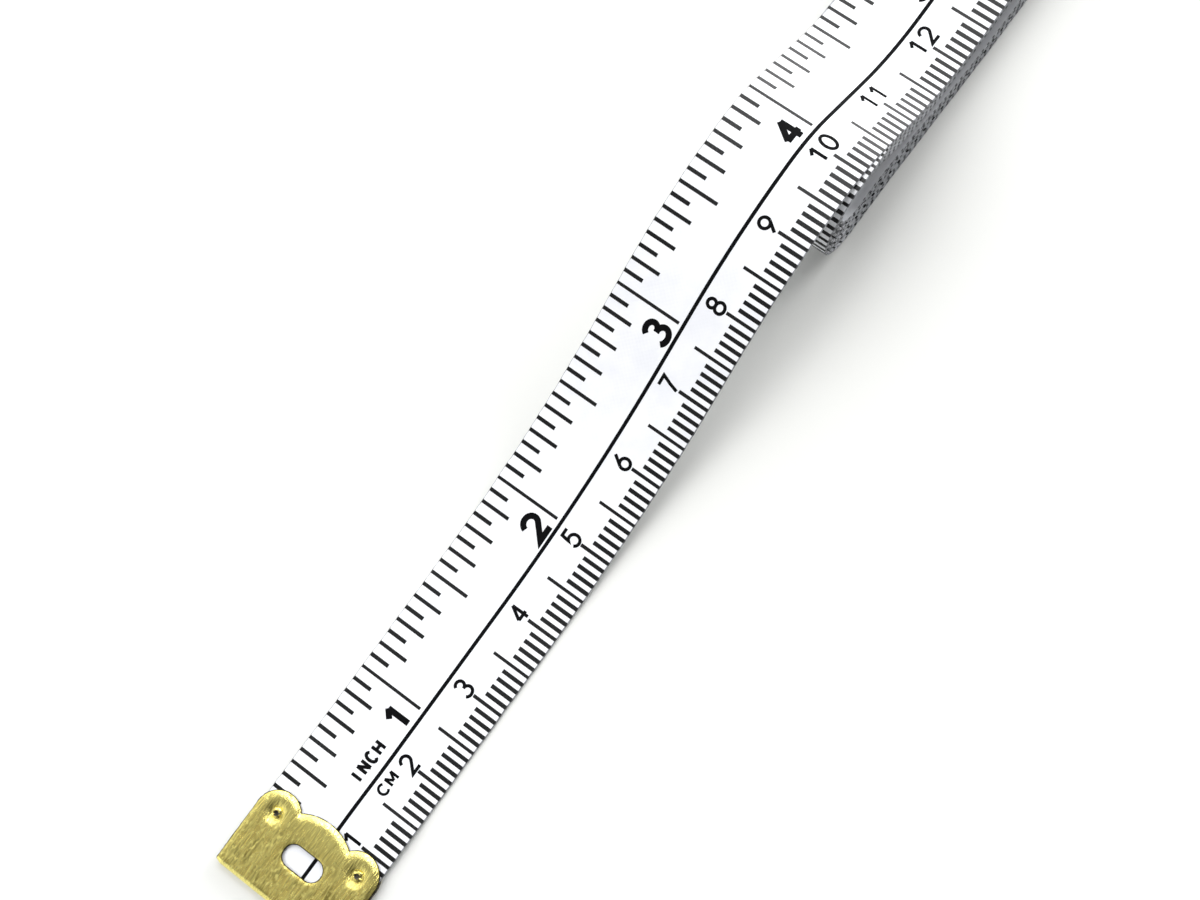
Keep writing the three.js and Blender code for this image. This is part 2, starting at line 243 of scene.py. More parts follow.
FLOOR_PATCHES = Mottling((30.0, 30.0, 30.0), 0.3, 0.7)

# Weave under the coating and the ink
WEAVE_DEPTH = 0.02 * MM
COAT_WEAVE = 0.5
INK_WEAVE = 0.6

# Painted shade of the cloth inside the roll, which greys it towards its edges between the layers: where it
# starts and is full, in from the edge, and its shares there
PAINTED_SHADE_START = 2.5 * MM
PAINTED_SHADE_FULL = 0.5 * MM
PAINTED_SHADE_SHARES = (0.12, 0.72)

# Brightness of thin ink and of pale and inked threads, and how far a mark's ink runs on the cut edge
THIN_INK = 2
PALE_THREADS = 1.8
INKED_THREADS = 0.2
INK_RUN_FULL = 0.12
INK_RUN_END = 0.26
INK_RUN_SHARE = 0.9

# Brass: the painted highlight of its lobe and fold, where it is also smoother, its bright marks and streaks,
# the dark line of painted shadow along its cut edges, and the painted shade of its cut rims and tears
LOBE_HIGHLIGHT_SHARE = 0.45
FOLD_HIGHLIGHT_START = 0.6 * MM
FOLD_HIGHLIGHT_FULL = 0.5 * MM
STREAK_SHARE = 0.6
STREAK_DEPTH = 0.03 * MM
SCRATCH_SHARE = 0.8
MARK_GAIN = 1.25
MARK_LIFT = 0.06
# Painted shadow: a dark line just inside the brass's cut edges
EDGE_SHADOW_START = 0.35
EDGE_SHADOW_FULL = 0.6
EDGE_SHADOW_COLOUR = (0.03, 0.025, 0.012, 1.0)
SHADE_COLOUR = (0.02, 0.017, 0.01, 1.0)
SHADE_BRASS_COLOUR = (0.16, 0.12, 0.04, 1.0)

# Floor, and the brightness of its darker patches
FLOOR_SIZE = 4.0
FLOOR_SHADE = 0.985

# Lights with their places, targets and sizes, and the one kind of ray that doesn't see them
Lamp = namedtuple("Lamp", "place target size unseen")
LAMPS = {
    "key": Lamp((-0.28, 0.26, 0.5), (0.0, 0.0, 0.0), (0.5, 0.5), "visible_glossy"),
    "window": Lamp((0.49, -0.1, 0.18), (0.03, 0.0, 0.0), (0.2, 0.2), None),
    "panel": Lamp((0.42, 0.14, 0.6), (0.05, 0.0, 0.0), (0.22, 0.26), None),
    "lamp": Lamp((0.16, 0.15, 0.7), (-0.03, 0.0, 0.0), (0.2, 0.2), "visible_diffuse"),
    "sheen": Lamp((0.49, 0.14, 0.14), (0.03, 0.0, 0.0), (0.2, 0.2), "visible_diffuse"),
}

# Even light: where its ceiling starts and how that edge leans, and how it weakens low on the inch side
CEILING_EDGE = (0.42, 0.6)
CEILING_LEAN = -1.2
TIP_SIDE_LEAN = -0.8
TIP_SIDE_SHIFT = -0.3
LOW_EDGE = (0.0, 0.45)
LOW_CUT = -0.65
FAINTEST_LIGHT = 0.05
LIGHT_COLOUR = (0.98, 0.99, 1.0, 1.0)

# Camera of the photograph: lens in millimetres, place, line of sight and the way to the picture's right
CAMERA_LENS = 62.03
CAMERA_NEAR = 0.01
CAMERA_PLACE = (-0.055722, -0.052314, 0.219872)
CAMERA_SIGHT = Vector((0.07918, 0.23360, -0.96910))
CAMERA_RIGHT = Vector((0.58825, -0.79580, -0.14377))

Pose = namedtuple("Pose", "x z heading s")
Run = namedtuple("Run", "length turn label")


class TapeClothProperties(bpy.types.PropertyGroup):
    """Sizes and colours of the coated cloth tape"""

    width: FloatProperty(
        name="Width", description="Width of the tape", default=STRETCH_HIGH.y - STRETCH_LOW.y, unit="LENGTH")
    thickness: FloatProperty(
        name="Thickness", description="Thickness of the coated cloth", default=0.375 * MM, unit="LENGTH")
    layer_pitch: FloatProperty(
        name="Layer pitch", description="Step from one turn of the roll to the next", default=0.41 * MM,
        unit="LENGTH")
    edge_rounding: FloatProperty(
        name="Edge rounding", description="Width of the worn corner along each edge", default=0.08 * MM,
        unit="LENGTH")
    edge_fray: FloatProperty(
        name="Edge fray", description="How far the cut edge wanders in and out", default=0.05 * MM,
        unit="LENGTH")
    thread: FloatProperty(
        name="Thread", description="Length of one repeat of the weave", default=0.56 * MM, unit="LENGTH")
    colour: FloatVectorProperty(
        name="Cloth colour", description="Colour of the coating", default=(0.90, 0.905, 0.92), size=3,
        subtype="COLOR")
    cool_colour: FloatVectorProperty(
        name="Cool colour", description="Colour of the coating where it is thin", default=(0.84, 0.85, 0.89),
        size=3, subtype="COLOR")
    # The cut edge's colour is the grey of its threads, darkened further with painted shade for the shaded
    # edges of the roll's layers
    edge_colour: FloatVectorProperty(
        name="Edge colour", description="Colour of the cut edge, where the threads show",
        default=(0.23, 0.235, 0.25), size=3, subtype="COLOR")


class TapePrintProperties(bpy.types.PropertyGroup):
    """Sizes and colour of the printed scales"""

    colour: FloatVectorProperty(
        name="Ink colour", description="Colour of the print", default=(0.0025, 0.0025, 0.003), size=3,
        subtype="COLOR")
    height: FloatProperty(
        name="Ink height", description="How far the ink stands above the coating", default=0.015 * MM,
        unit="LENGTH")
    edge_margin: FloatProperty(
        name="Edge margin", description="Bare coating between a mark and the tape's edge", default=0.05 * MM,
        unit="LENGTH")
    metric_stroke: FloatProperty(
        name="Metric stroke", description="Width of a mark on the centimetre edge", default=0.47 * MM,
        unit="LENGTH")
    inch_stroke: FloatProperty(
        name="Inch stroke", description="Width of a mark on the inch edge", default=0.45 * MM, unit="LENGTH")
    line_place: FloatProperty(
        name="Line place", description="Place of the long line, from the tape's middle", default=-0.9 * MM,
        unit="LENGTH")
    line_width: FloatProperty(
        name="Line width", description="Width of the long line", default=0.42 * MM, unit="LENGTH")
    metric_digit: FloatProperty(
        name="Metric digit", description="Height of a centimetre number", default=2.45 * MM, unit="LENGTH")
    inch_digit: FloatProperty(
        name="Inch digit", description="Height of an inch number", default=3.5 * MM, unit="LENGTH")


class TapeTipProperties(bpy.types.PropertyGroup):
    """Sizes and colours of the brass tips"""

    sheet: FloatProperty(
        name="Sheet", description="Thickness of the brass sheet", default=0.3 * MM, unit="LENGTH")
    rim_width: FloatProperty(
        name="Rim width", description="Width of the outer rim that dips", default=0.9 * MM, unit="LENGTH")
    rim_droop: FloatProperty(
        name="Rim droop", description="How far the outer rim dips", default=0.22 * MM, unit="LENGTH")
    window_rim: FloatProperty(
        name="Window rim", description="Width of the window's rim that dips", default=0.34 * MM,
        unit="LENGTH")
    window_droop: FloatProperty(
        name="Window droop", description="How far the rim of the window dips", default=0.08 * MM,
        unit="LENGTH")
    # Width of the painted shadow along the brass's cut edges
    burr: FloatProperty(
        name="Edge shadow", description="Width of the dark line along the cut edges", default=0.2 * MM,
        unit="LENGTH")
    crimp_rim: FloatProperty(
        name="Crimp rim", description="Width of the slope round a crimp", default=0.95 * MM, unit="LENGTH")
    crimp_radius: FloatProperty(
        name="Crimp radius", description="Radius of the steep middle of a crimp", default=0.72 * MM,
        unit="LENGTH")
    crimp_depth: FloatProperty(
        name="Crimp depth", description="Depth of a crimp's dimple", default=0.26 * MM, unit="LENGTH")
    colour: FloatVectorProperty(
        name="Brass colour", description="Colour of the brass", default=(0.82, 0.66, 0.18), size=3,
        subtype="COLOR")
    dull_colour: FloatVectorProperty(
        name="Dull colour", description="Colour of the brass where it has dulled",
        default=(0.33, 0.265, 0.066), size=3, subtype="COLOR")


class TapeStageProperties(bpy.types.PropertyGroup):
    """Light and floor of the studio stage"""

    floor_colour: FloatVectorProperty(
        name="Floor colour", description="Colour of the floor", default=(0.805, 0.807, 0.782), size=3,
        subtype="COLOR")
    sky: FloatProperty(
        name="Sky", description="Strength of the even light from all round", default=0.98)
    sky_tilt: FloatVectorProperty(
        name="Sky tilt", default=(0.4, 1.05), size=2,
        description="How much stronger the even light is beyond the roll and on the inch side")
    ceiling: FloatProperty(
        name="Ceiling", description="Share of the even light that comes from straight above", default=0.38)
    key_power: FloatProperty(
        name="Key power", description="Power of the soft light on the inch side", default=2.05, unit="POWER")
    window_power: FloatProperty(
        name="Window power", description="Power of the low light beyond the roll", default=2.0, unit="POWER")
    panel_power: FloatProperty(
        name="Panel power", description="Power of the high light beyond the roll", default=0.85, unit="POWER")
    sheen_power: FloatProperty(
        name="Sheen power", description="Power of the light that shines in the ink of the far slope",
        default=0.9, unit="POWER")
    lamp_power: FloatProperty(
        name="Lamp power", description="Power of the high light that gives only gloss", default=1.0,
        unit="POWER")


def straight(length, label=""):
    return Run(length, 0.0, label)


def bend(radius, turn, label=""):
    return Run(radius * abs(turn), turn, label)


def advance(pose, length, curvature):
    """The pose a length further along a run."""
    heading = pose.heading + curvature * length
    if curvature == 0:
        return Pose(pose.x + length * cos(heading), pose.z + length * sin(heading), heading, pose.s + length)
    x = pose.x + (sin(heading) - sin(pose.heading)) / curvature
    z = pose.z - (cos(heading) - cos(pose.heading)) / curvature
    return Pose(x, z, heading, pose.s + length)


def s_bend_turn(rise, radius):
    """Turn of each half of an S-bend that climbs by rise."""
    return acos(1 - rise / (2 * radius))


def free_runs():
    """Runs from the tape's end in the front tip to the crest of the roll."""
    step_turn = s_bend_turn(TIP_LEVEL - TABLE_LEVEL, STEP_RADIUS)
    flat = FLAT_LENGTH - TIP_LENGTH - TIP_TO_STEP - 2 * STEP_RADIUS * step_turn
    climb = CREST_LEVEL - TABLE_LEVEL - (FOOT_RADIUS + CREST_RADIUS) * (1 - cos(RAMP_SLOPE))
    return [
        straight(TIP_LENGTH + TIP_TO_STEP - TAPE_END_INSET),
        bend(STEP_RADIUS, -step_turn),
        bend(STEP_RADIUS, step_turn),
        straight(flat),
        bend(FOOT_RADIUS, RAMP_SLOPE),
        straight(climb / sin(RAMP_SLOPE)),
        bend(CREST_RADIUS, -RAMP_SLOPE),
    ]


def roll_runs(pitch):
    """Runs from the crest round every turn of the roll to the tape's end in the rear tip."""
    rise = CREST_LEVEL - WAIST_LEVEL - (BULGE_RADIUS + WAIST_RADIUS) * (1 - cos(BULGE_SLOPE))
    slope = rise / sin(BULGE_SLOPE)
    reach = (BULGE_RADIUS + WAIST_RADIUS) * sin(BULGE_SLOPE) + slope * cos(BULGE_SLOPE)
    waist = ROLL_SPAN - 2 * reach
    sideways = NOSE_SHIFT * sin(BULGE_SLOPE)
    nose_lift = (BULGE_RADIUS - pitch - NOSE_BULGE_RADIUS - sideways) / cos(BULGE_SLOPE)
    nose_top = CREST_LEVEL - BULGE_RADIUS + nose_lift + NOSE_BULGE_RADIUS
    nose_slope = slope - NOSE_SHIFT * cos(BULGE_SLOPE) + nose_lift * sin(BULGE_SLOPE)
    runs = [bend(BULGE_RADIUS, -BULGE_SLOPE, "top 0"), straight(slope)]
    for turn in range(TURN_COUNT):
        inset = turn * pitch
        slack = turn * NOSE_SLACK
        slack_turn = s_bend_turn(slack, SLACK_RADIUS)
        rising = [bend(SLACK_RADIUS, -slack_turn), bend(SLACK_RADIUS, slack_turn)] if turn else []
        flat = ROLL_SPAN - NOSE_SHIFT - 2 * SLACK_RADIUS * sin(slack_turn)
        runs += [
            bend(WAIST_RADIUS + inset, BULGE_SLOPE),
            straight(waist),
            bend(WAIST_RADIUS + inset, BULGE_SLOPE, f"far rise {turn}"),
            straight(slope),
            bend(BULGE_RADIUS - inset, -BULGE_SLOPE),
            bend(FAR_NOSE_RADIUS - inset, -pi, f"far nose {turn}"),
            straight(flat, f"bottom {turn}"),
            *rising,
            bend((nose_top - TABLE_LEVEL - slack) / 2 - inset, -pi, f"near nose {turn}"),
            bend(NOSE_BULGE_RADIUS - inset, -BULGE_SLOPE, f"top {turn + 1}"),
            straight(nose_slope),
        ]
    inset = TURN_COUNT * pitch
    tongue_turn = s_bend_turn(TONGUE_LEVEL - WAIST_LEVEL + inset, TONGUE_RADIUS)
    tongue_reach = 2 * TONGUE_RADIUS * sin(tongue_turn) + TONGUE_LENGTH
    return runs + [
        bend(WAIST_RADIUS + inset, BULGE_SLOPE),
        straight(crest_to_end() - reach - tongue_reach),
        bend(TONGUE_RADIUS, tongue_turn, "tongue"),
        bend(TONGUE_RADIUS, -tongue_turn),
        straight(TONGUE_LENGTH),
    ]


def crest_to_end():
    """How far beyond the crest, along the floor, the tape ends in the rear tip."""
    pose = Pose(FRONT_LOW.x + TAPE_END_INSET, TIP_LEVEL, 0.0, 0.0)
    for run in free_runs():
        pose = advance(pose, run.length, run.turn / run.length)
    return REAR_HIGH.x - TAPE_END_INSET - pose.x


class TapeRoute:
    """The tape's middle in side view, measured along the tape from the front tip's fold."""

    def __init__(self, cloth):
        self.poses = [Pose(FRONT_LOW.x + TAPE_END_INSET, TIP_LEVEL, 0.0, TAPE_END_INSET)]
        self.curvatures = []
        self.marks = {}
        for run in free_runs() + roll_runs(cloth.layer_pitch):
            pose = self.poses[-1]
            if run.label:
                self.marks[run.label] = pose.s
            self.curvatures.append(run.turn / run.length)
            self.poses.append(advance(pose, run.length, self.curvatures[-1]))
        self.starts = [pose.s for pose in self.poses[:-1]]
        self.end = self.poses[-1].s
        self.crest = self.marks["top 0"]
        self.drifts = self.turn_drifts()
        self.drift_starts = [s for s, _ in self.drifts]

    def turn_drifts(self):
        """Places along the tape with how far it stands out sideways there."""
        drifts = []
        for turn in range(TURN_COUNT + 1):
            top = self.marks[f"top {turn}"]
            near = (0.0, SECOND_NEAR_DRIFT, UNDER_NEAR_DRIFT)[min(turn, 2)]
            middle = TOP_MIDDLE_DRIFT if turn else 0.0
            places = [(top, near), (top + NEAR_REACH, 0.0), (top + TOP_MIDDLE_REACH, middle)]
            if turn < TURN_COUNT:
                near_nose = self.marks[f"near nose {turn}"]
                bottom = LEDGE_DRIFT if turn <= LEDGE_TURN else UPPER_BOTTOM_DRIFT
                places += [
                    (self.marks[f"far nose {turn}"], FAR_DRIFT),
                    (near_nose - BOTTOM_MIDDLE_REACH, bottom),
                    (near_nose, BOTTOM_NEAR_DRIFT),
                ]
            else:
                places.append((self.marks["tongue"], 0.0))
            for index, (s, drift) in enumerate(places):
                angle = SCATTER_BY_TURN * turn + SCATTER_BY_PLACE * index
                drifts.append((s, drift + (TURN_SCATTER * sin(angle) if turn else 0.0)))
        return drifts

    def drift(self, s):
        index = bisect_right(self.drift_starts, s) - 1
        if index < 0:
            return 0.0
        if index == len(self.drifts) - 1:
            return self.drifts[-1][1]
        (low, before), (high, after) = self.drifts[index], self.drifts[index + 1]
        share = (s - low) / (high - low)
        return before + (after - before) * share * share * (3 - 2 * share)

    def pose(self, s):
        index = max(0, bisect_right(self.starts, s) - 1)
        start = self.poses[index]
        return advance(start, s - start.s, self.curvatures[index])

    def on(self, s, across, lift):
        """The point at s along the tape, across its width and lifted off its middle."""
        pose = self.pose(s)
        return Vector((
            pose.x - lift * sin(pose.heading), across + self.drift(s), pose.z + lift * cos(pose.heading)))

    def stations(self, low, high, longest, sharpest):
        """Places along the tape for its rings, closer together in the bends."""
        places = [low]
        for index, start in enumerate(self.starts):
            begin, finish = max(low, start), min(high, self.poses[index + 1].s)
            length = finish - begin
            if length < SHORTEST_RUN:
                continue
            steps = max(ceil(length / longest), ceil(length * abs(self.curvatures[index]) / sharpest))
            places += [begin + length * step / steps for step in range(1, steps + 1)]
        return places

    def stretches(self):
        """The hinged stretches from the crest to the tip: their ends and hinges along the tape."""
        for index in range(SECTION_COUNT):
            hinge = self.crest - CREST_TO_HINGE - index * SECTION_LENGTH
            high = self.crest if index == 0 else hinge + SECTION_LENGTH / 2
            low = TAPE_END_INSET if index == SECTION_COUNT - 1 else hinge - SECTION_LENGTH / 2
            yield index + 1, low, high, hinge


def follow_hinge(piece, route, hinge):
    """Bakes a piece's place into its mesh; the points on each side of its hinge are found but not used."""
    start = route.on(hinge - BEND_REACH, 0.0, 0.0)
    end = route.on(hinge + BEND_REACH, 0.0, 0.0)
    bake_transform(piece)


def strip_faces(ring_count, ring_size, first):
    """Faces of a closed strip through rings of points, with its two ends."""
    faces = [tuple(first + index for index in reversed(range(ring_size)))]
    for ring in range(ring_count - 1):
        base = first + ring * ring_size
        for index in range(ring_size):
            after = (index + 1) % ring_size
            faces.append((base + index, base + after, base + ring_size + after, base + ring_size + index))
    last = first + (ring_count - 1) * ring_size
    faces.append(tuple(last + index for index in range(ring_size)))
    return faces


def mesh_piece(name, points, faces, places, materials):
    """A new piece with a UV map of its places along and across the tape."""
    mesh = bpy.data.meshes.new(name)
    mesh.from_pydata(points, [], faces)
    layer = mesh.uv_layers.new(name="tape")
    for loop in mesh.loops:
        layer.data[loop.index].uv = places[loop.vertex_index]
    for material in materials:
        mesh.materials.append(material)
    piece = bpy.data.objects.new(name, mesh)
    bpy.context.collection.objects.link(piece)
    return piece


def select_only(piece):
    bpy.ops.object.select_all(action="DESELECT")
    piece.select_set(True)
    bpy.context.view_layer.objects.active = piece


def turn_faces_outward(piece):
    select_only(piece)
    bpy.ops.object.mode_set(mode="EDIT")
    bpy.ops.mesh.select_all(action="SELECT")
    bpy.ops.mesh.normals_make_consistent(inside=False)
    bpy.ops.object.mode_set(mode="OBJECT")


def smooth_piece(piece, degrees):
    select_only(piece)
    bpy.ops.object.shade_smooth_by_angle(angle=radians(degrees))


def apply_modifier(piece, kind, **settings):
    modifier = piece.modifiers.new(kind.title(), kind)
    for name, value in settings.items():
        setattr(modifier, name, value)
    select_only(piece)
    bpy.ops.object.modifier_apply(modifier=modifier.name)


def edge_wander(s, side, amount):
    """How far the tape's cut edge stands out at s."""
    return amount * noise.noise(Vector((s / FRAY_LENGTH, FRAY_NOISE[0] * side, FRAY_NOISE[1])))


def tape_strip(name, route, cloth, places):
    """A closed strip of tape through the given places along it."""
    half, top, corner = cloth.width / 2, cloth.thickness / 2, cloth.edge_rounding
    profile = [
        (half - corner, top), (corner - half, top), (-half, top - corner), (-half, corner - top),
        (corner - half, -top), (half - corner, -top), (half, corner - top), (half, top - corner),
    ]
    points, uvs = [], []
    for s in places:
        for across, lift in profile:
            side = 1 if across > 0 else -1
            out = across + side * edge_wander(s, side, cloth.edge_fray)
            points.append(route.on(s, out, lift))
            uvs.append((s, out))
    faces = strip_faces(len(places), len(profile), 0)
    finishes = [material_of(coated_cloth, cloth), material_of(cut_edge, cloth)]
    piece = mesh_piece(name, points, faces, uvs, finishes)
    for face in piece.data.polygons[1:-1]:
        side = (face.index - 1) % STRIP_SIDES
        face.material_index = COATED if side in (FRONT_SIDE, BACK_SIDE) else CUT
    smooth_piece(piece, degrees=30)
    return piece


def arc(x, y, radius_x, radius_y, start, end):
    """Points of a round stroke, with its angles in degrees."""
    steps = max(LEAST_ARC_STEPS, ceil(abs(end - start) / ARC_STEP))
    angles = [radians(start + (end - start) * step / steps) for step in range(steps + 1)]
    return [(x + radius_x * cos(angle), y + radius_y * sin(angle)) for angle in angles]


# Pen strokes of the numbers and unit words, in a box one wide and one high
STROKES = {
    "0": [arc(0.5, 0.5, 0.5, 0.5, 90, 450)],
    "1": [[(0.12, 0.72), (0.58, 1.0)], [(0.58, 1.0), (0.58, 0.0)]],
    "2": [arc(0.5, 0.71, 0.47, 0.29, 170, -35) + [(0.03, 0.0), (1.0, 0.0)]],
    "3": [arc(0.46, 0.76, 0.42, 0.24, 155, -90), arc(0.46, 0.27, 0.5, 0.27, 90, -155)],
    "4": [[(0.72, 0.0), (0.72, 1.0)], [(0.72, 1.0), (0.0, 0.27)], [(0.0, 0.27), (1.0, 0.27)]],
    "5": [[(0.92, 1.0), (0.22, 1.0), (0.12, 0.54)] + arc(0.46, 0.32, 0.5, 0.32, 125, -155)],
    "6": [[(0.74, 1.0), (0.1, 0.46)], arc(0.5, 0.3, 0.48, 0.3, 150, 510)],
    "7": [[(0.0, 1.0), (0.96, 1.0), (0.62, 0.5), (0.36, 0.0)]],
    "8": [arc(0.5, 0.76, 0.4, 0.24, 270, 630), arc(0.5, 0.27, 0.5, 0.27, 90, 450)],
    "9": [[(0.26, 0.0), (0.9, 0.54)], arc(0.5, 0.7, 0.48, 0.3, -30, 330)],
    "I": [[(0.5, 0.0), (0.5, 1.0)]],
    "N": [[(0.0, 0.0), (0.0, 1.0)], [(0.0, 1.0), (1.0, 0.0)], [(1.0, 0.0), (1.0, 1.0)]],
    "C": [arc(0.5, 0.5, 0.5, 0.5, 45, 315)],
    "H": [[(0.0, 0.0), (0.0, 1.0)], [(1.0, 0.0), (1.0, 1.0)], [(0.0, 0.52), (1.0, 0.52)]],
    "M": [
        [(0.0, 0.0), (0.0, 1.0)], [(0.0, 1.0), (0.5, 0.2)],
        [(0.5, 0.2), (1.0, 1.0)], [(1.0, 1.0), (1.0, 0.0)],
    ],
}


def short_steps(points, longest):
    """The same pen stroke with more points, so that it follows the tape's bends."""
    closer = points[:1]
    for (x, y), (next_x, next_y) in zip(points, points[1:]):
        steps = max(1, ceil(hypot(next_x - x, next_y - y) / longest))
        shares = [step / steps for step in range(1, steps + 1)]
        closer += [(x + (next_x - x) * share, y + (next_y - y) * share) for share in shares]
    return closer


def stroke_sides(points, half):
    """The two sides of a pen stroke along points."""
    left, right = [], []
    for index, (x, y) in enumerate(points):
        before = points[max(index - 1, 0)]
        after = points[min(index + 1, len(points) - 1)]
        entry = Vector((x - before[0], y - before[1])) if index else None
        leave = Vector((after[0] - x, after[1] - y)) if index < len(points) - 1 else None
        entry = (entry or leave).normalized()
        leave = (leave or entry).normalized()
        along = (entry + leave).normalized()
        reach = half / max(along.dot(entry), CORNER_LIMIT)
        normal = Vector((-along.y, along.x)) * reach
        left.append((x + normal.x, y + normal.y))
        right.append((x - normal.x, y - normal.y))
    return left, right


class InkSlabs:
    """Thin closed slabs of ink on one face of the tape, gathered for one piece."""

    def __init__(self, route, cloth, ink, face):
        self.route = route
        self.cloth = cloth
        self.ink = ink
        self.face = face
        self.points, self.faces, self.places = [], [], []
        self.dull_faces = set()
        self.layer = 0

    def slab(self, rings):
        """Adds one closed slab through rings of points along, across and above the coating."""
        self.faces += strip_faces(len(rings), len(rings[0]), len(self.points))
        for ring in rings:
            for s, across, above in ring:
                lift = self.cloth.thickness / 2 + above
                self.points.append(self.route.on(s, self.face * across, self.face * lift))
                self.places.append((s, self.face * across))

    def mark(self, s, edge, length, stroke):
        """A mark of the scale, from the edge inwards."""
        height = self.ink.height
        out = self.cloth.width / 2 - self.ink.edge_margin
        inner = out - length
        ring = [(inner, height), (out, height), (out, -height), (inner, -height)]
        self.slab([
            [(s + side * stroke / 2, edge * across, above) for across, above in ring] for side in (-1, 1)])

    def write(self, text, s, across, letter):
        """Writes a number or word centred on a place of the tape, with its top to the inch edge."""
        total = len(text) * letter.width + (len(text) - 1) * letter.gap
        pen_width, pen_height = letter.width - letter.stroke, letter.height - letter.stroke
        foot = across - letter.height / 2 + letter.stroke / 2
        for index, sign in enumerate(text):
            corner = s - total / 2 + index * (letter.width + letter.gap) + letter.stroke / 2
            for points in STROKES[sign]:
                scaled = [(corner + x * pen_width, foot + y * pen_height) for x, y in points]
                self.stroke(short_steps(scaled, PEN_STEP), letter.stroke / 2)

    def stroke(self, points, half):
        """One pen stroke, a hair higher than the one before it so that crossings stay clean."""
        self.layer = (self.layer + 1) % PEN_LEVELS
        top = self.ink.height + self.layer * LEVEL_STEP
        left, right = stroke_sides(points, half)
        self.dull_slab([
            [(a, b, top), (c, d, top), (c, d, -top), (a, b, -top)] for (a, b), (c, d) in zip(left, right)])

    def line(self, places):
        """The long line between the two scales."""
        height, half = self.ink.height, self.ink.line_width / 2
        low, high = self.ink.line_place - half, self.ink.line_place + half
        self.dull_slab([
            [(s, high, height), (s, low, height), (s, low, -height), (s, high, -height)] for s in places])

    def dull_slab(self, rings):
        """Adds one slab of the dull ink."""
        first = len(self.faces)
        self.slab(rings)
        self.dull_faces.update(range(first, len(self.faces)))

    def piece(self, name):
        finishes = [material_of(finish, self.cloth, self.ink) for finish in (black_ink, dull_ink)]
        piece = mesh_piece(name, self.points, self.faces, self.places, finishes)
        for face in piece.data.polygons:
            face.material_index = DULL if face.index in self.dull_faces else SHINY
        turn_faces_outward(piece)
        return piece


def print_marks(slabs, low, high, reach):
    """Both scales between two places, each mark no longer than its reach there."""
    ink = slabs.ink
    by_mark, by_edge, by_face = MARK_NOISE
    scales = [
        (-1, METRIC_STEP, METRIC_MARKS, ink.metric_stroke),
        (1, INCH_STEP, INCH_MARKS, ink.inch_stroke),
    ]
    for edge, step, marks, stroke in scales:
        first = ceil((max(low, FIRST_MARK) - SCALE_START) / step)
        for number in range(first, ceil((high - SCALE_START) / step)):
            s = SCALE_START + number * step
            uneven = noise.noise(Vector((number * by_mark, edge * by_edge, slabs.face * by_face)))
            length, share = next(mark for count, mark in marks.items() if number % count == 0)
            length = min(length * (1 + MARK_LENGTH_SCATTER * uneven), reach(s))
            if length > 0:
                slabs.mark(s, edge, length, stroke * share * (1 + MARK_STROKE_SCATTER * uneven))


def digit_lettering(height, shares):
    """Lettering of a number, with its width, stroke and gap as shares of its height."""
    return Lettering(height, *(height * share for share in shares))


def print_numbers(slabs, low, high, reach):
    """The numbers of both scales between two places, and the names of the units."""
    ink = slabs.ink
    edge = slabs.cloth.width / 2 - ink.edge_margin
    small = digit_lettering(ink.metric_digit, METRIC_DIGIT_SHARES)
    large = digit_lettering(ink.inch_digit, INCH_DIGIT_SHARES)
    number_place = -edge + METRIC_MARK_TOP + METRIC_NUMBER_RISE
    for number in range(1, ceil(slabs.route.end / CENTIMETRE)):
        s = SCALE_START + number * CENTIMETRE
        if low <= s < high and reach(s) == FULL_REACH:
            slabs.write(str(number), s, number_place, small)
    for number in range(1, ceil(slabs.route.end / INCH)):
        text = str(number)
        back = (len(text) - 1) * large.height * SECOND_DIGIT_BACK
        s = SCALE_START + number * INCH - INCH_NUMBER_BACK - back
        if low <= s < high and reach(s) == FULL_REACH:
            slabs.write(text, s, ink.line_place + INCH_NUMBER_RISE, large)
    if low <= UNITS_PLACE < high:
        slabs.write("INCH", UNITS_PLACE + INCH_WORD_SHIFT, ink.line_place + INCH_WORD_RISE, INCH_WORD)
        slabs.write("CM", UNITS_PLACE, ink.line_place - METRIC_WORD_DROP, METRIC_WORD)


def printed_face(name, slabs, span, reach, lines, rings):
    """The print of one face over a span of the tape, with the long line as close-set as the cloth's rings."""
    print_marks(slabs, *span, reach)
    print_numbers(slabs, *span, reach)
    for low, high in lines:
        slabs.line(slabs.route.stations(low, high, *rings))
    return slabs.piece(name)


def full_reach(_):
    return FULL_REACH


def reach_within(shown, ledges):
    """The longest mark at a place: full where the print shows, short on a ledge and none elsewhere."""
    def reach(s):
        if any(low <= s < high for low, high in shown):
            return FULL_REACH
        return LEDGE_REACH if any(low <= s < high for low, high in ledges) else 0.0
    return reach


def set_inputs(tree, node, inputs):
    """Sets a node's inputs, or links them where the value is another node's."""
    for name, value in inputs.items():
        if isinstance(value, bpy.types.NodeSocket):
            tree.links.new(value, node.inputs[name])
        else:
            node.inputs[name].default_value = value


def add_node(tree, kind, inputs=None, **settings):
    """A node with its settings, and its inputs set or linked."""
    node = tree.nodes.new(kind)
    for name, value in settings.items():
        setattr(node, name, value)
    set_inputs(tree, node, inputs or {})
    return node


def calculate(tree, operation, *values):
    return add_node(tree, "ShaderNodeMath", dict(enumerate(values)), operation=operation).outputs[0]


def vary(tree, share, base, change):
    """A value that is base where share is nought, and changes with it."""
    return calculate(tree, "MULTIPLY_ADD", share, change, base)


def ramp(tree, value, low, high, start=0.0, end=1.0):
    """A value that goes from start to end as another goes from low to high."""
    limits = {"From Min": low, "From Max": high, "To Min": start, "To Max": end}
    return add_node(tree, "ShaderNodeMapRange", {"Value": value, **limits}).outputs[0]


def axes(tree, place):
    return add_node(tree, "ShaderNodeSeparateXYZ", {0: place}).outputs


def rgba(colour, brightness=1.0):
    return (*(channel * brightness for channel in colour), 1.0)


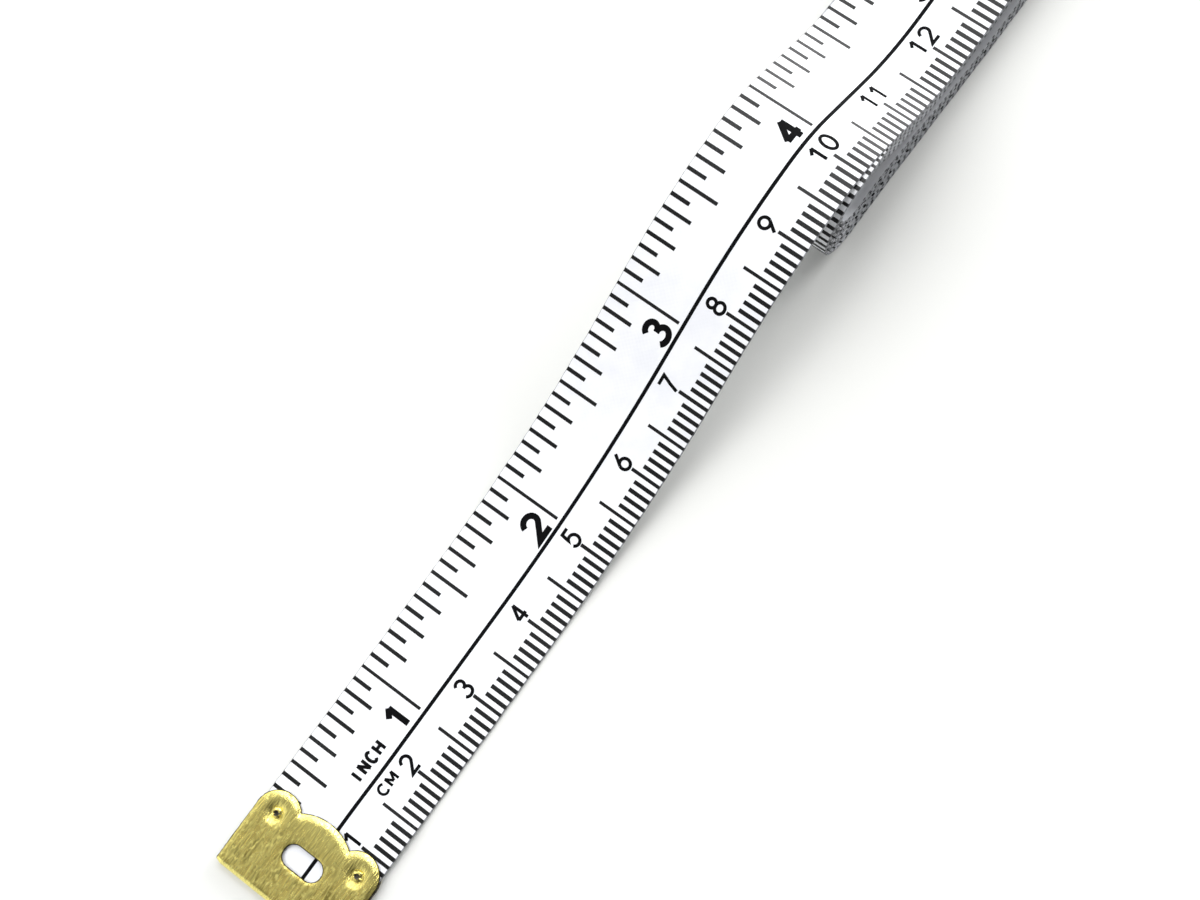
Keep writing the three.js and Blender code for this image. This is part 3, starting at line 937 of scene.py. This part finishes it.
def blend_colours(tree, share, first, second):
    mix = add_node(tree, "ShaderNodeMix", {0: share, 6: first, 7: second}, data_type="RGBA")
    return mix.outputs[2]


def node_group(name, sockets, output, fill):
    """The node group of that name, made only once: fill gives its output from its named inputs."""
    if name in bpy.data.node_groups:
        return bpy.data.node_groups[name]
    group = bpy.data.node_groups.new(name, "ShaderNodeTree")
    for socket, kind, value in sockets:
        entry = group.interface.new_socket(name=socket, in_out="INPUT", socket_type=kind)
        if value is not None:
            entry.default_value = value
    group.interface.new_socket(name=output, in_out="OUTPUT", socket_type="NodeSocketFloat")
    source, sink = group.nodes.new("NodeGroupInput"), group.nodes.new("NodeGroupOutput")
    group.links.new(fill(group, source.outputs), sink.inputs[output])
    return group


def weave_height(group, given):
    """Height of the coated plain weave, by the place along and across the tape."""
    along, across, _ = axes(group, given["Place"])
    turns = calculate(group, "DIVIDE", 2 * pi, given["Thread"])
    warp = calculate(group, "SINE", calculate(group, "MULTIPLY", along, turns))
    weft = calculate(group, "SINE", calculate(group, "MULTIPLY", across, turns))
    return vary(group, calculate(group, "MULTIPLY", warp, weft), base=0.5, change=0.5)


def weave_normal(tree, thread, strength):
    """Place on the tape, and the normal of the weave seen through the coating or the ink there."""
    sockets = [("Place", "NodeSocketVector", None), ("Thread", "NodeSocketFloat", thread)]
    group = node_group("Coated weave", sockets, "Height", weave_height)
    place = tape_place(tree)
    weave = add_node(tree, "ShaderNodeGroup", {"Place": place, "Thread": thread}, node_tree=group)
    surface = {"Height": weave.outputs["Height"], "Strength": strength, "Distance": WEAVE_DEPTH}
    return place, add_node(tree, "ShaderNodeBump", surface).outputs[0]


def soft_patches(group, given):
    """Soft uneven patches between nought and one, stretched by a scale for each direction."""
    scaled = add_node(
        group, "ShaderNodeVectorMath", {0: given["Place"], 1: given["Scale"]}, operation="MULTIPLY")
    speckle = add_node(
        group, "ShaderNodeTexNoise", {"Vector": scaled.outputs[0], "Scale": 1.0, "Detail": 3.0})
    return ramp(group, speckle.outputs[0], given["Low"], given["High"])


def mottle(tree, place, kind):
    """Patches of one kind, as a share at each place."""
    sockets = [
        ("Place", "NodeSocketVector", None),
        ("Scale", "NodeSocketVector", (1.0, 1.0, 1.0)),
        ("Low", "NodeSocketFloat", 0.35),
        ("High", "NodeSocketFloat", 0.65),
    ]
    inputs = {"Place": place, "Scale": kind.scale, "Low": kind.low, "High": kind.high}
    group = node_group("Mottle", sockets, "Share", soft_patches)
    return add_node(tree, "ShaderNodeGroup", inputs, node_tree=group).outputs["Share"]


def tape_place(tree):
    """Place along and across the tape."""
    return add_node(tree, "ShaderNodeUVMap", uv_map="tape").outputs[0]


def object_place(tree):
    return add_node(tree, "ShaderNodeTexCoord").outputs["Object"]


def material_of(finish, *settings):
    """The material of a finish, under the finish's own name and made only once."""
    name = finish.__name__
    if name in bpy.data.materials:
        return bpy.data.materials[name]
    material = bpy.data.materials.new(name)
    material.use_nodes = True
    tree = material.node_tree
    set_inputs(tree, tree.nodes["Principled BSDF"], finish(tree, *settings))
    return material


def coated_cloth(tree, cloth):
    """White coated cloth: a satin coat over a fine weave, thinner and cooler in patches."""
    place, normal = weave_normal(tree, cloth.thread, COAT_WEAVE)
    patches = mottle(tree, place, COAT_PATCHES)
    worn = mottle(tree, place, COAT_WEAR)
    return {
        "Base Color": blend_colours(tree, patches, rgba(cloth.colour), rgba(cloth.cool_colour)),
        "Roughness": vary(tree, worn, base=0.34, change=0.12),
        "Normal": normal,
    }


def rolled_cloth(tree, cloth):
    """The same cloth inside the roll, with painted shade that greys it towards its edges, where the layers
    shade each other.
    """
    inputs = coated_cloth(tree, cloth)
    across = calculate(tree, "ABSOLUTE", axes(tree, tape_place(tree))["Y"])
    edge = cloth.width / 2
    # Painted shade: grey towards the edges of the cloth inside the roll
    painted_shade = ramp(tree, across, edge - PAINTED_SHADE_START, edge - PAINTED_SHADE_FULL, *PAINTED_SHADE_SHARES)
    inputs["Base Color"] = blend_colours(tree, painted_shade, inputs["Base Color"], rgba(cloth.edge_colour))
    return inputs


def cut_edge(tree, cloth):
    """The cut edge of the cloth, grey with threads and darkened further with painted shade of the shaded
    edges between the roll's layers, and dark where a mark's ink has run over it.
    """
    place = tape_place(tree)
    threads = mottle(tree, place, EDGE_THREADS)
    pale, dark = (rgba(cloth.edge_colour, share) for share in (PALE_THREADS, INKED_THREADS))
    colour = blend_colours(tree, threads, rgba(cloth.edge_colour), pale)
    along, across, _ = axes(tree, place)
    metric = calculate(tree, "LESS_THAN", across, 0.0)
    step = vary(tree, metric, base=INCH_STEP, change=METRIC_STEP - INCH_STEP)
    marks = calculate(tree, "DIVIDE", calculate(tree, "SUBTRACT", along, SCALE_START), step)
    beside = calculate(tree, "PINGPONG", marks, 0.5)
    inked = ramp(tree, beside, INK_RUN_FULL, INK_RUN_END, INK_RUN_SHARE, 0.0)
    return {"Base Color": blend_colours(tree, inked, colour, dark), "Roughness": 0.7}


def printed_ink(tree, cloth, ink, roughness, change, gloss):
    """Ink that sinks into the weave and is thin in places."""
    place, normal = weave_normal(tree, cloth.thread, INK_WEAVE)
    thin = mottle(tree, place, INK_PATCHES)
    return {
        "Base Color": blend_colours(tree, thin, rgba(ink.colour), rgba(ink.colour, THIN_INK)),
        "Roughness": vary(tree, thin, base=roughness, change=change),
        "Specular IOR Level": gloss,
        "Normal": normal,
    }


def black_ink(tree, cloth, ink):
    """Black ink of the marks, with a little gloss."""
    return printed_ink(tree, cloth, ink, roughness=0.36, change=0.08, gloss=0.3)


def dull_ink(tree, cloth, ink):
    """Dull black ink of the long line, the numbers and the unit words."""
    return printed_ink(tree, cloth, ink, roughness=0.55, change=0.1, gloss=0.05)


def stamped_brass(tree, tip):
    """Stamped brass, dulled in patches, with flecks, streaks and scratches, a painted highlight at its
    scalloped end and its fold, where it is also smoother, and a dark line of painted shadow at its cut edges.
    """
    place = object_place(tree)
    flecks, scratches = mottle(tree, place, BRASS_FLECKS), mottle(tree, place, BRASS_SCRATCHES)
    streaks, patches = mottle(tree, place, BRASS_STREAKS), mottle(tree, place, BRASS_PATCHES)
    # Painted highlight: brighter brass towards the scalloped end and along the fold, which is also made
    # smoother there
    outward = calculate(tree, "ABSOLUTE", axes(tree, place)["X"])
    lobe_end, fold_end = -FRONT_HIGH.x, -FRONT_LOW.x
    lobe = ramp(tree, outward, lobe_end, lobe_end + LOBE_HIGHLIGHT_SHARE * TIP_LENGTH, 1.0, 0.0)
    fold = ramp(tree, outward, fold_end - FOLD_HIGHLIGHT_START, fold_end - FOLD_HIGHLIGHT_FULL)
    highlight_and_polish = calculate(tree, "MAXIMUM", lobe, fold)
    dull = calculate(tree, "MULTIPLY", patches, calculate(tree, "SUBTRACT", 1.0, highlight_and_polish))
    colour = blend_colours(tree, dull, rgba(tip.colour), rgba(tip.dull_colour))
    marks = calculate(tree, "MAXIMUM", calculate(tree, "MULTIPLY", streaks, STREAK_SHARE), flecks)
    marks = calculate(tree, "MAXIMUM", marks, highlight_and_polish)
    marks = calculate(tree, "MAXIMUM", marks, calculate(tree, "MULTIPLY", scratches, SCRATCH_SHARE))
    bright = [min(1.0, channel * MARK_GAIN + MARK_LIFT) for channel in tip.colour]
    colour = blend_colours(tree, marks, colour, rgba(bright))
    near_edge = add_node(tree, "ShaderNodeAttribute", attribute_name="cut_edge").outputs["Fac"]
    # Painted shadow: a dark line just inside the cut edges
    burr = ramp(tree, near_edge, EDGE_SHADOW_START, EDGE_SHADOW_FULL)
    smooth = vary(tree, highlight_and_polish, base=0.25, change=-0.08)
    bump = add_node(tree, "ShaderNodeBump", {"Height": streaks, "Strength": 0.7, "Distance": STREAK_DEPTH})
    return {
        "Base Color": blend_colours(tree, burr, colour, EDGE_SHADOW_COLOUR),
        "Roughness": vary(tree, dull, base=smooth, change=0.1),
        "Metallic": 1.0,
        "Normal": bump.outputs[0],
    }


def tarnished_brass(tree):
    """Painted shade of the brass's cut rims and of a crimp's torn middle: dark, with a little brass left in
    patches.
    """
    left = mottle(tree, object_place(tree), SHADE_PATCHES)
    return {"Base Color": blend_colours(tree, left, SHADE_COLOUR, SHADE_BRASS_COLOUR), "Roughness": 0.6}


def pale_floor(tree, stage):
    """A plain pale floor with the faintest unevenness."""
    patches = mottle(tree, object_place(tree), FLOOR_PATCHES)
    darker = rgba(stage.floor_colour, FLOOR_SHADE)
    return {"Base Color": blend_colours(tree, patches, rgba(stage.floor_colour), darker), "Roughness": 0.7}


def circle_crossing(centre, radius, other_centre, other_radius):
    """The way from one circle's centre to another's, and the angle from it to their crossing."""
    offset = other_centre - centre
    distance = offset.length
    share = (distance ** 2 + radius ** 2 - other_radius ** 2) / (2 * distance * radius)
    return offset, acos(share)


def scalloped_end(arc_length):
    """Outline of one plate's end, from one side of the tip to the other."""
    lobe = Vector((LOBE_CENTRE, 0.0))
    offset, spread = circle_crossing(EAR_CENTRE, EAR_RADIUS, lobe, LOBE_RADIUS)
    towards = Vector((1.0, 0.0)).angle_signed(offset)
    ear_start, ear_end = radians(90), -towards + spread
    cusp = EAR_CENTRE + EAR_RADIUS * Vector((cos(ear_end), sin(ear_end)))
    lobe_start = Vector((1.0, 0.0)).angle_signed(cusp - lobe) * -1
    ear = [ear_start + (ear_end - ear_start) * step / EAR_STEPS for step in range(EAR_STEPS + 1)]
    upper = [EAR_CENTRE + EAR_RADIUS * Vector((cos(angle), sin(angle))) for angle in ear]
    middle = [lobe_start - 2 * lobe_start * step / LOBE_STEPS for step in range(1, LOBE_STEPS)]
    points = upper + [lobe + LOBE_RADIUS * Vector((cos(angle), sin(angle))) for angle in middle]
    points += [Vector((point.x, -point.y)) for point in reversed(upper)]
    return [(point.x - TIP_HALF_HEIGHT + arc_length, point.y) for point in points]


def round_hole(x, y, half_length, radius):
    """Outline of a hole with round ends, long across the tape."""
    upper = [radians(angle) for angle in range(0, 181, HOLE_STEP)]
    points = [(x + radius * cos(angle), y + half_length + radius * sin(angle)) for angle in upper]
    return points + [(2 * x - px, 2 * y - py) for px, py in points]


def tip_outlines(quarter, tip):
    """Outlines of the flat brass blank: both plates with the fold between, and its holes."""
    plate = scalloped_end(quarter)
    blank = plate + [(-along, across) for along, across in reversed(plate)]
    window = WINDOW_CENTRE - TIP_HALF_HEIGHT + quarter
    crimp = CRIMP_PLACE.x - TIP_HALF_HEIGHT + quarter
    straight_half = (WINDOW_LENGTH - WINDOW_WIDTH) / 2
    holes = [round_hole(side * window, 0.0, straight_half, WINDOW_WIDTH / 2) for side in (1, -1)]
    holes += [round_hole(crimp, side * CRIMP_PLACE.y, 0.0, tip.crimp_radius) for side in (1, -1)]
    return [blank] + holes


def flat_blank(name, outlines):
    """A flat filled sheet with the given outlines."""
    curve = bpy.data.curves.new(name, "CURVE")
    curve.dimensions = "2D"
    curve.fill_mode = "BOTH"
    for outline in outlines:
        spline = curve.splines.new("POLY")
        spline.points.add(len(outline) - 1)
        for point, (along, across) in zip(spline.points, outline):
            point.co = (along, across, 0.0, 1.0)
        spline.use_cyclic_u = True
    piece = bpy.data.objects.new(name, curve)
    bpy.context.collection.objects.link(piece)
    select_only(piece)
    bpy.ops.object.convert(target="MESH")
    return bpy.context.view_layer.objects.active


def outline_tree(outline):
    """A tree of points close together along an outline, to measure distances from it."""
    points = []
    for (x, y), (next_x, next_y) in zip(outline, outline[1:] + outline[:1]):
        steps = max(1, ceil(hypot(next_x - x, next_y - y) / OUTLINE_STEP))
        shares = [step / steps for step in range(steps)]
        points += [(x + (next_x - x) * share, y + (next_y - y) * share, 0.0) for share in shares]
    tree = kdtree.KDTree(len(points))
    for index, point in enumerate(points):
        tree.insert(point, index)
    tree.balance()
    return tree


def rim_dip(point, rims):
    """How far a point of the blank dips because of the outlines near it."""
    dip = 0.0
    for tree, width, droop in rims:
        distance = tree.find(point)[2]
        if distance < width:
            dip += droop * (1 - distance / width) ** 2
    return dip


def cut_lines(shape, axis, places):
    """Cuts a flat sheet along straight lines so that it can bend there."""
    normal = Vector((float(axis == 0), float(axis == 1), 0.0))
    for place in places:
        geometry = shape.verts[:] + shape.edges[:] + shape.faces[:]
        bmesh.ops.bisect_plane(shape, geom=geometry, plane_co=normal * place, plane_no=normal)


def fold_blank(piece, quarter, tip, outlines, place):
    """Bends the rims of the flat blank, folds it in two and puts it in its place."""
    radius = TIP_HALF_HEIGHT - tip.sheet / 2
    shape = bmesh.new()
    shape.from_mesh(piece.data)
    steps = ceil(TIP_LENGTH / GRID_STEP)
    flat = [quarter + step * GRID_STEP for step in range(1, steps)]
    fold = [quarter * step / FOLD_STEPS for step in range(-FOLD_STEPS, FOLD_STEPS + 1)]
    cut_lines(shape, 0, fold + flat + [-along for along in flat])
    cut_lines(shape, 1, [step * GRID_STEP for step in range(-steps, steps + 1)])
    bmesh.ops.remove_doubles(shape, verts=shape.verts, dist=MERGE_DISTANCE)
    edges = [(tip.rim_width, tip.rim_droop)] + [(tip.window_rim, tip.window_droop)] * 2
    crimps = [(tip.crimp_rim, tip.crimp_depth)] * 2
    rims = [(outline_tree(outline), *edge) for outline, edge in zip(outlines, edges + crimps)]
    edge_layer = shape.verts.layers.float.new("cut_edge")
    for vert in shape.verts:
        along, across = vert.co.x, vert.co.y
        inset = min(tree.find(vert.co)[2] for tree, _, _ in rims[:len(edges)])
        # Closeness to the cut edges, for their painted shadow
        vert[edge_layer] = 1 - inset / tip.burr
        reach = radius - rim_dip(vert.co, rims)
        if abs(along) < quarter:
            angle = along / radius
            u, up = TIP_HALF_HEIGHT - reach * cos(angle), reach * sin(angle)
        else:
            u, up = TIP_HALF_HEIGHT + abs(along) - quarter, reach if along > 0 else -reach
        vert.co = (u, across, up)
    bmesh.ops.transform(shape, matrix=place, verts=shape.verts)
    shape.to_mesh(piece.data)
    shape.free()
    turn_faces_outward(piece)


def add_brass(piece, tip):
    """Gives a piece the bright brass and the painted shade of its cut rims and tears."""
    piece.data.materials.append(material_of(stamped_brass, tip))
    piece.data.materials.append(material_of(tarnished_brass))


def tear_open(mesh, radius, seed):
    """Tears the middle of a crimp's dimple."""
    for vert in mesh.vertices:
        if 0 < hypot(vert.co.x, vert.co.y) < radius:
            tear = noise.noise(Vector((vert.co.x / TEAR_LENGTH, vert.co.y / TEAR_LENGTH, seed)))
            for axis, shift in enumerate(TEAR_SHIFTS):
                vert.co[axis] += shift * tear


def crimp_cup(name, tip, place, centre, seed):
    """One crimp: a round dimple pressed into the brass, its middle roughened like a tear and painted dark as
    the shade of a torn hole.
    """
    bpy.ops.object.select_all(action="DESELECT")
    bpy.ops.mesh.primitive_circle_add(vertices=CRIMP_SIDES, radius=tip.crimp_radius + CRIMP_OVERLAP)
    piece = bpy.context.view_layer.objects.active
    piece.name = piece.data.name = name
    bpy.ops.object.mode_set(mode="EDIT")
    for (outer, high), (inner, low) in zip(CRIMP_RINGS, CRIMP_RINGS[1:]):
        bpy.ops.mesh.extrude_region_move(
            TRANSFORM_OT_translate={"value": (0.0, 0.0, (high - low) * tip.crimp_depth)})
        share = inner / outer
        bpy.ops.transform.resize(value=(share, share, 1.0), center_override=(0.0, 0.0, 0.0))
    bpy.ops.mesh.edge_face_add()
    bpy.ops.mesh.poke()
    bpy.ops.object.mode_set(mode="OBJECT")
    tear_open(piece.data, tip.crimp_radius * TORN_SHARE, seed)
    add_brass(piece, tip)
    # Painted shade in the crimp's torn middle
    for face in piece.data.polygons:
        dark = face.center.xy.length < tip.crimp_radius * DARK_SHARE
        face.material_index = SHADED if dark else BRIGHT
    piece.data.transform(place @ Matrix.Translation((*centre, TIP_HALF_HEIGHT - tip.crimp_depth)))
    turn_faces_outward(piece)
    apply_modifier(piece, "SOLIDIFY", thickness=CRIMP_WALL, offset=-1.0)
    smooth_piece(piece, degrees=60)
    return piece


def brass_tip(name, tip, place, body, node):
    """A folded brass tip with its two crimps, in the place of its CAD node."""
    quarter = (TIP_HALF_HEIGHT - tip.sheet / 2) * pi / 2
    outlines = tip_outlines(quarter, tip)
    plate = flat_blank(name, outlines)
    fold_blank(plate, quarter, tip, outlines, place)
    add_brass(plate, tip)
    # The plate's cut rims and bevels get the painted shade
    apply_modifier(plate, "SOLIDIFY", thickness=tip.sheet, offset=0.0, material_offset_rim=SHADED)
    apply_modifier(
        plate, "BEVEL", width=EDGE_BEVEL, segments=2, limit_method="ANGLE", angle_limit=radians(50),
        material=SHADED)
    smooth_piece(plate, degrees=40)
    cups = [
        crimp_cup(f"{name}_crimp", tip, place, (CRIMP_PLACE.x, side * CRIMP_PLACE.y), side * TEAR_SEED)
        for side in (1, -1)
    ]
    bpy.ops.object.select_all(action="DESELECT")
    for part in cups + [plate]:
        part.select_set(True)
    bpy.context.view_layer.objects.active = plate
    bpy.ops.object.join()
    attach(plate, body)
    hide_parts(node)


def soft_light(name, lamp, power):
    """A rectangular light that faces its target."""
    light = bpy.data.lights.new(name, "AREA")
    light.shape = "RECTANGLE"
    light.size, light.size_y = lamp.size
    light.energy = power
    holder = bpy.data.objects.new(name, light)
    bpy.context.collection.objects.link(holder)
    holder.location = lamp.place
    holder.rotation_euler = (Vector(lamp.target) - Vector(lamp.place)).to_track_quat("-Z", "Y").to_euler()
    if lamp.unseen:
        setattr(holder, lamp.unseen, False)


def even_light(stage):
    """Even light, stronger beyond the roll and on the inch side, weaker from above and low on that side."""
    world = bpy.data.worlds.new("even_light")
    world.use_nodes = True
    tree = world.node_tree
    way = axes(tree, add_node(tree, "ShaderNodeTexCoord").outputs["Generated"])
    beyond = vary(tree, way["X"], base=stage.sky, change=stage.sky_tilt[0])
    sides = vary(tree, way["Y"], base=beyond, change=stage.sky_tilt[1])
    tip_side = vary(tree, way["X"], base=TIP_SIDE_SHIFT, change=TIP_SIDE_LEAN)
    slant = calculate(tree, "MAXIMUM", way["X"], tip_side)
    height = vary(tree, slant, base=way["Z"], change=CEILING_LEAN)
    above = ramp(tree, height, *CEILING_EDGE, 1.0, stage.ceiling)
    low = ramp(tree, way["Z"], *LOW_EDGE, LOW_CUT, 0.0)
    clear = vary(tree, calculate(tree, "MAXIMUM", way["Y"], 0.0), base=1.0, change=low)
    strength = calculate(tree, "MULTIPLY", calculate(tree, "MAXIMUM", sides, FAINTEST_LIGHT), above)
    strength = calculate(tree, "MULTIPLY", strength, clear)
    set_inputs(tree, tree.nodes["Background"], {"Color": LIGHT_COLOUR, "Strength": strength})
    return world


def photo_camera():
    """The camera where the photograph was taken, held at a slant over the tape."""
    lens = bpy.data.cameras.new("camera")
    lens.lens = CAMERA_LENS
    lens.clip_start = CAMERA_NEAR
    holder = bpy.data.objects.new("camera", lens)
    bpy.context.collection.objects.link(holder)
    back = -CAMERA_SIGHT.normalized()
    right = CAMERA_RIGHT.normalized()
    turn = Matrix((right, back.cross(right), back)).transposed().to_4x4()
    holder.matrix_world = Matrix.Translation(CAMERA_PLACE) @ turn
    return holder


class TAPE_OT_free_stretch(bpy.types.Operator):
    """Lays the printed free stretch of the tape, from the front tip up to the crest of the roll"""

    bl_idname = "tape.free_stretch"
    bl_label = "Free stretch"

    def execute(self, context):
        cloth, ink = context.scene.tape_cloth, context.scene.tape_print
        route = TapeRoute(cloth)
        for number, low, high, hinge in route.stretches():
            places = route.stations(low, high, *STRETCH_RINGS)
            piece = tape_strip(f"cloth_stretch_{number}", route, cloth, places)
            span = (low, high)
            prints = []
            for face, side in FACES:
                slabs = InkSlabs(route, cloth, ink, face)
                name = f"print_{side}_{number}"
                prints.append(printed_face(name, slabs, span, full_reach, [span], STRETCH_RINGS))
            for part in [piece] + prints:
                follow_hinge(part, route, hinge)
            node = f"tape_section_{number}"
            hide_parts(node)
        return {"FINISHED"}


class TAPE_OT_roll(bpy.types.Operator):
    """Winds the rest of the tape into the flattened roll, with its print"""

    bl_idname = "tape.roll"
    bl_label = "Roll"

    def execute(self, context):
        cloth, ink = context.scene.tape_cloth, context.scene.tape_print
        route = TapeRoute(cloth)
        places = route.stations(route.crest, route.end, *ROLL_RINGS)
        piece = tape_strip("cloth_roll", route, cloth, places)
        piece.data.materials.append(material_of(rolled_cloth, cloth))
        outer_end, tongue = route.marks["top 1"] + INNER_START, route.marks["tongue"]
        inner_starts = {FRONT_SIDE: outer_end, BACK_SIDE: route.crest + INNER_START}
        # Faces inside the roll take the cloth with painted shade towards its edges
        for face in piece.data.polygons[1:-1]:
            ring, side = divmod(face.index - 1, STRIP_SIDES)
            if inner_starts.get(side, tongue) < places[ring] < tongue:
                face.material_index = ROLLED_SHADE
        shown = {1: [(route.crest, outer_end), (tongue, route.end)], -1: [(tongue, route.end)]}
        ledges = {
            1: [(route.marks[f"top {turn}"], route.marks[f"far nose {turn}"]) for turn in FRONT_LEDGE_TURNS],
            -1: [
                (route.marks[f"bottom {turn}"], route.marks[f"near nose {turn}"] + NEAR_LEDGE)
                for turn in range(TURN_COUNT - 1)
            ],
        }
        span = (route.crest, route.end)
        prints = []
        for face, side in FACES:
            slabs = InkSlabs(route, cloth, ink, face)
            reach = reach_within(shown[face], ledges[face])
            prints.append(printed_face(f"print_{side}_roll", slabs, span, reach, shown[face], ROLL_RINGS))
        for part in [piece] + prints:
            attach(part, "roll")
        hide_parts("tape_core", "tape_outer_turn")
        return {"FINISHED"}


class TAPE_OT_tips(bpy.types.Operator):
    """Stamps, folds and crimps the brass tips at both ends of the tape"""

    bl_idname = "tape.tips"
    bl_label = "Brass tips"

    def execute(self, context):
        tip = context.scene.tape_tip
        front = Matrix.Translation((FRONT_LOW.x, 0.0, TIP_LEVEL))
        rear = Matrix.Translation((REAR_HIGH.x, 0.0, TONGUE_LEVEL)) @ Matrix.Rotation(pi, 4, "Z")
        brass_tip("brass_front", tip, front, "free_end", "tip_front")
        brass_tip("brass_rear", tip, rear, "roll", "tip_rear")
        return {"FINISHED"}


class TAPE_OT_stage(bpy.types.Operator):
    """Sets the floor, the lights and the camera"""

    bl_idname = "tape.stage"
    bl_label = "Stage"

    def execute(self, context):
        stage = context.scene.tape_stage
        bpy.ops.object.select_all(action="DESELECT")
        bpy.ops.mesh.primitive_plane_add(size=FLOOR_SIZE)
        floor = context.view_layer.objects.active
        floor.name = floor.data.name = "floor"
        floor.data.materials.append(material_of(pale_floor, stage))
        context.scene.world = even_light(stage)
        for name, lamp in LAMPS.items():
            soft_light(name, lamp, getattr(stage, f"{name}_power"))
        context.scene.view_settings.view_transform = "Standard"
        context.scene.camera = photo_camera()
        return {"FINISHED"}


class TAPE_PT_sidebar(bpy.types.Panel):
    """The steps that dress the tape measure, in order"""

    bl_idname = "TAPE_PT_sidebar"
    bl_label = "Tape measure"
    bl_space_type = "VIEW_3D"
    bl_region_type = "UI"
    bl_category = "Tape measure"

    def draw(self, context):
        scene = context.scene
        steps = [
            (scene.tape_cloth, ["tape.free_stretch", "tape.roll"]),
            (scene.tape_print, []),
            (scene.tape_tip, ["tape.tips"]),
            (scene.tape_stage, ["tape.stage"]),
        ]
        for settings, operators in steps:
            box = self.layout.box()
            for name in settings.bl_rna.properties.keys():
                if name not in ("rna_type", "name"):
                    box.prop(settings, name)
            for name in operators:
                box.operator(name)


SETTINGS = {
    "tape_cloth": TapeClothProperties,
    "tape_print": TapePrintProperties,
    "tape_tip": TapeTipProperties,
    "tape_stage": TapeStageProperties,
}
CLASSES = (
    *SETTINGS.values(),
    TAPE_OT_free_stretch,
    TAPE_OT_roll,
    TAPE_OT_tips,
    TAPE_OT_stage,
    TAPE_PT_sidebar,
)


def register():
    for entry in CLASSES:
        bpy.utils.register_class(entry)
    for name, group in SETTINGS.items():
        setattr(bpy.types.Scene, name, PointerProperty(type=group))


def unregister():
    for name in SETTINGS:
        delattr(bpy.types.Scene, name)
    for entry in reversed(CLASSES):
        bpy.utils.unregister_class(entry)


def main():
    register()
    bpy.ops.tape.stage()
    bpy.ops.tape.free_stretch()
    bpy.ops.tape.roll()
    bpy.ops.tape.tips()


if __name__ == "__main__":
    main()
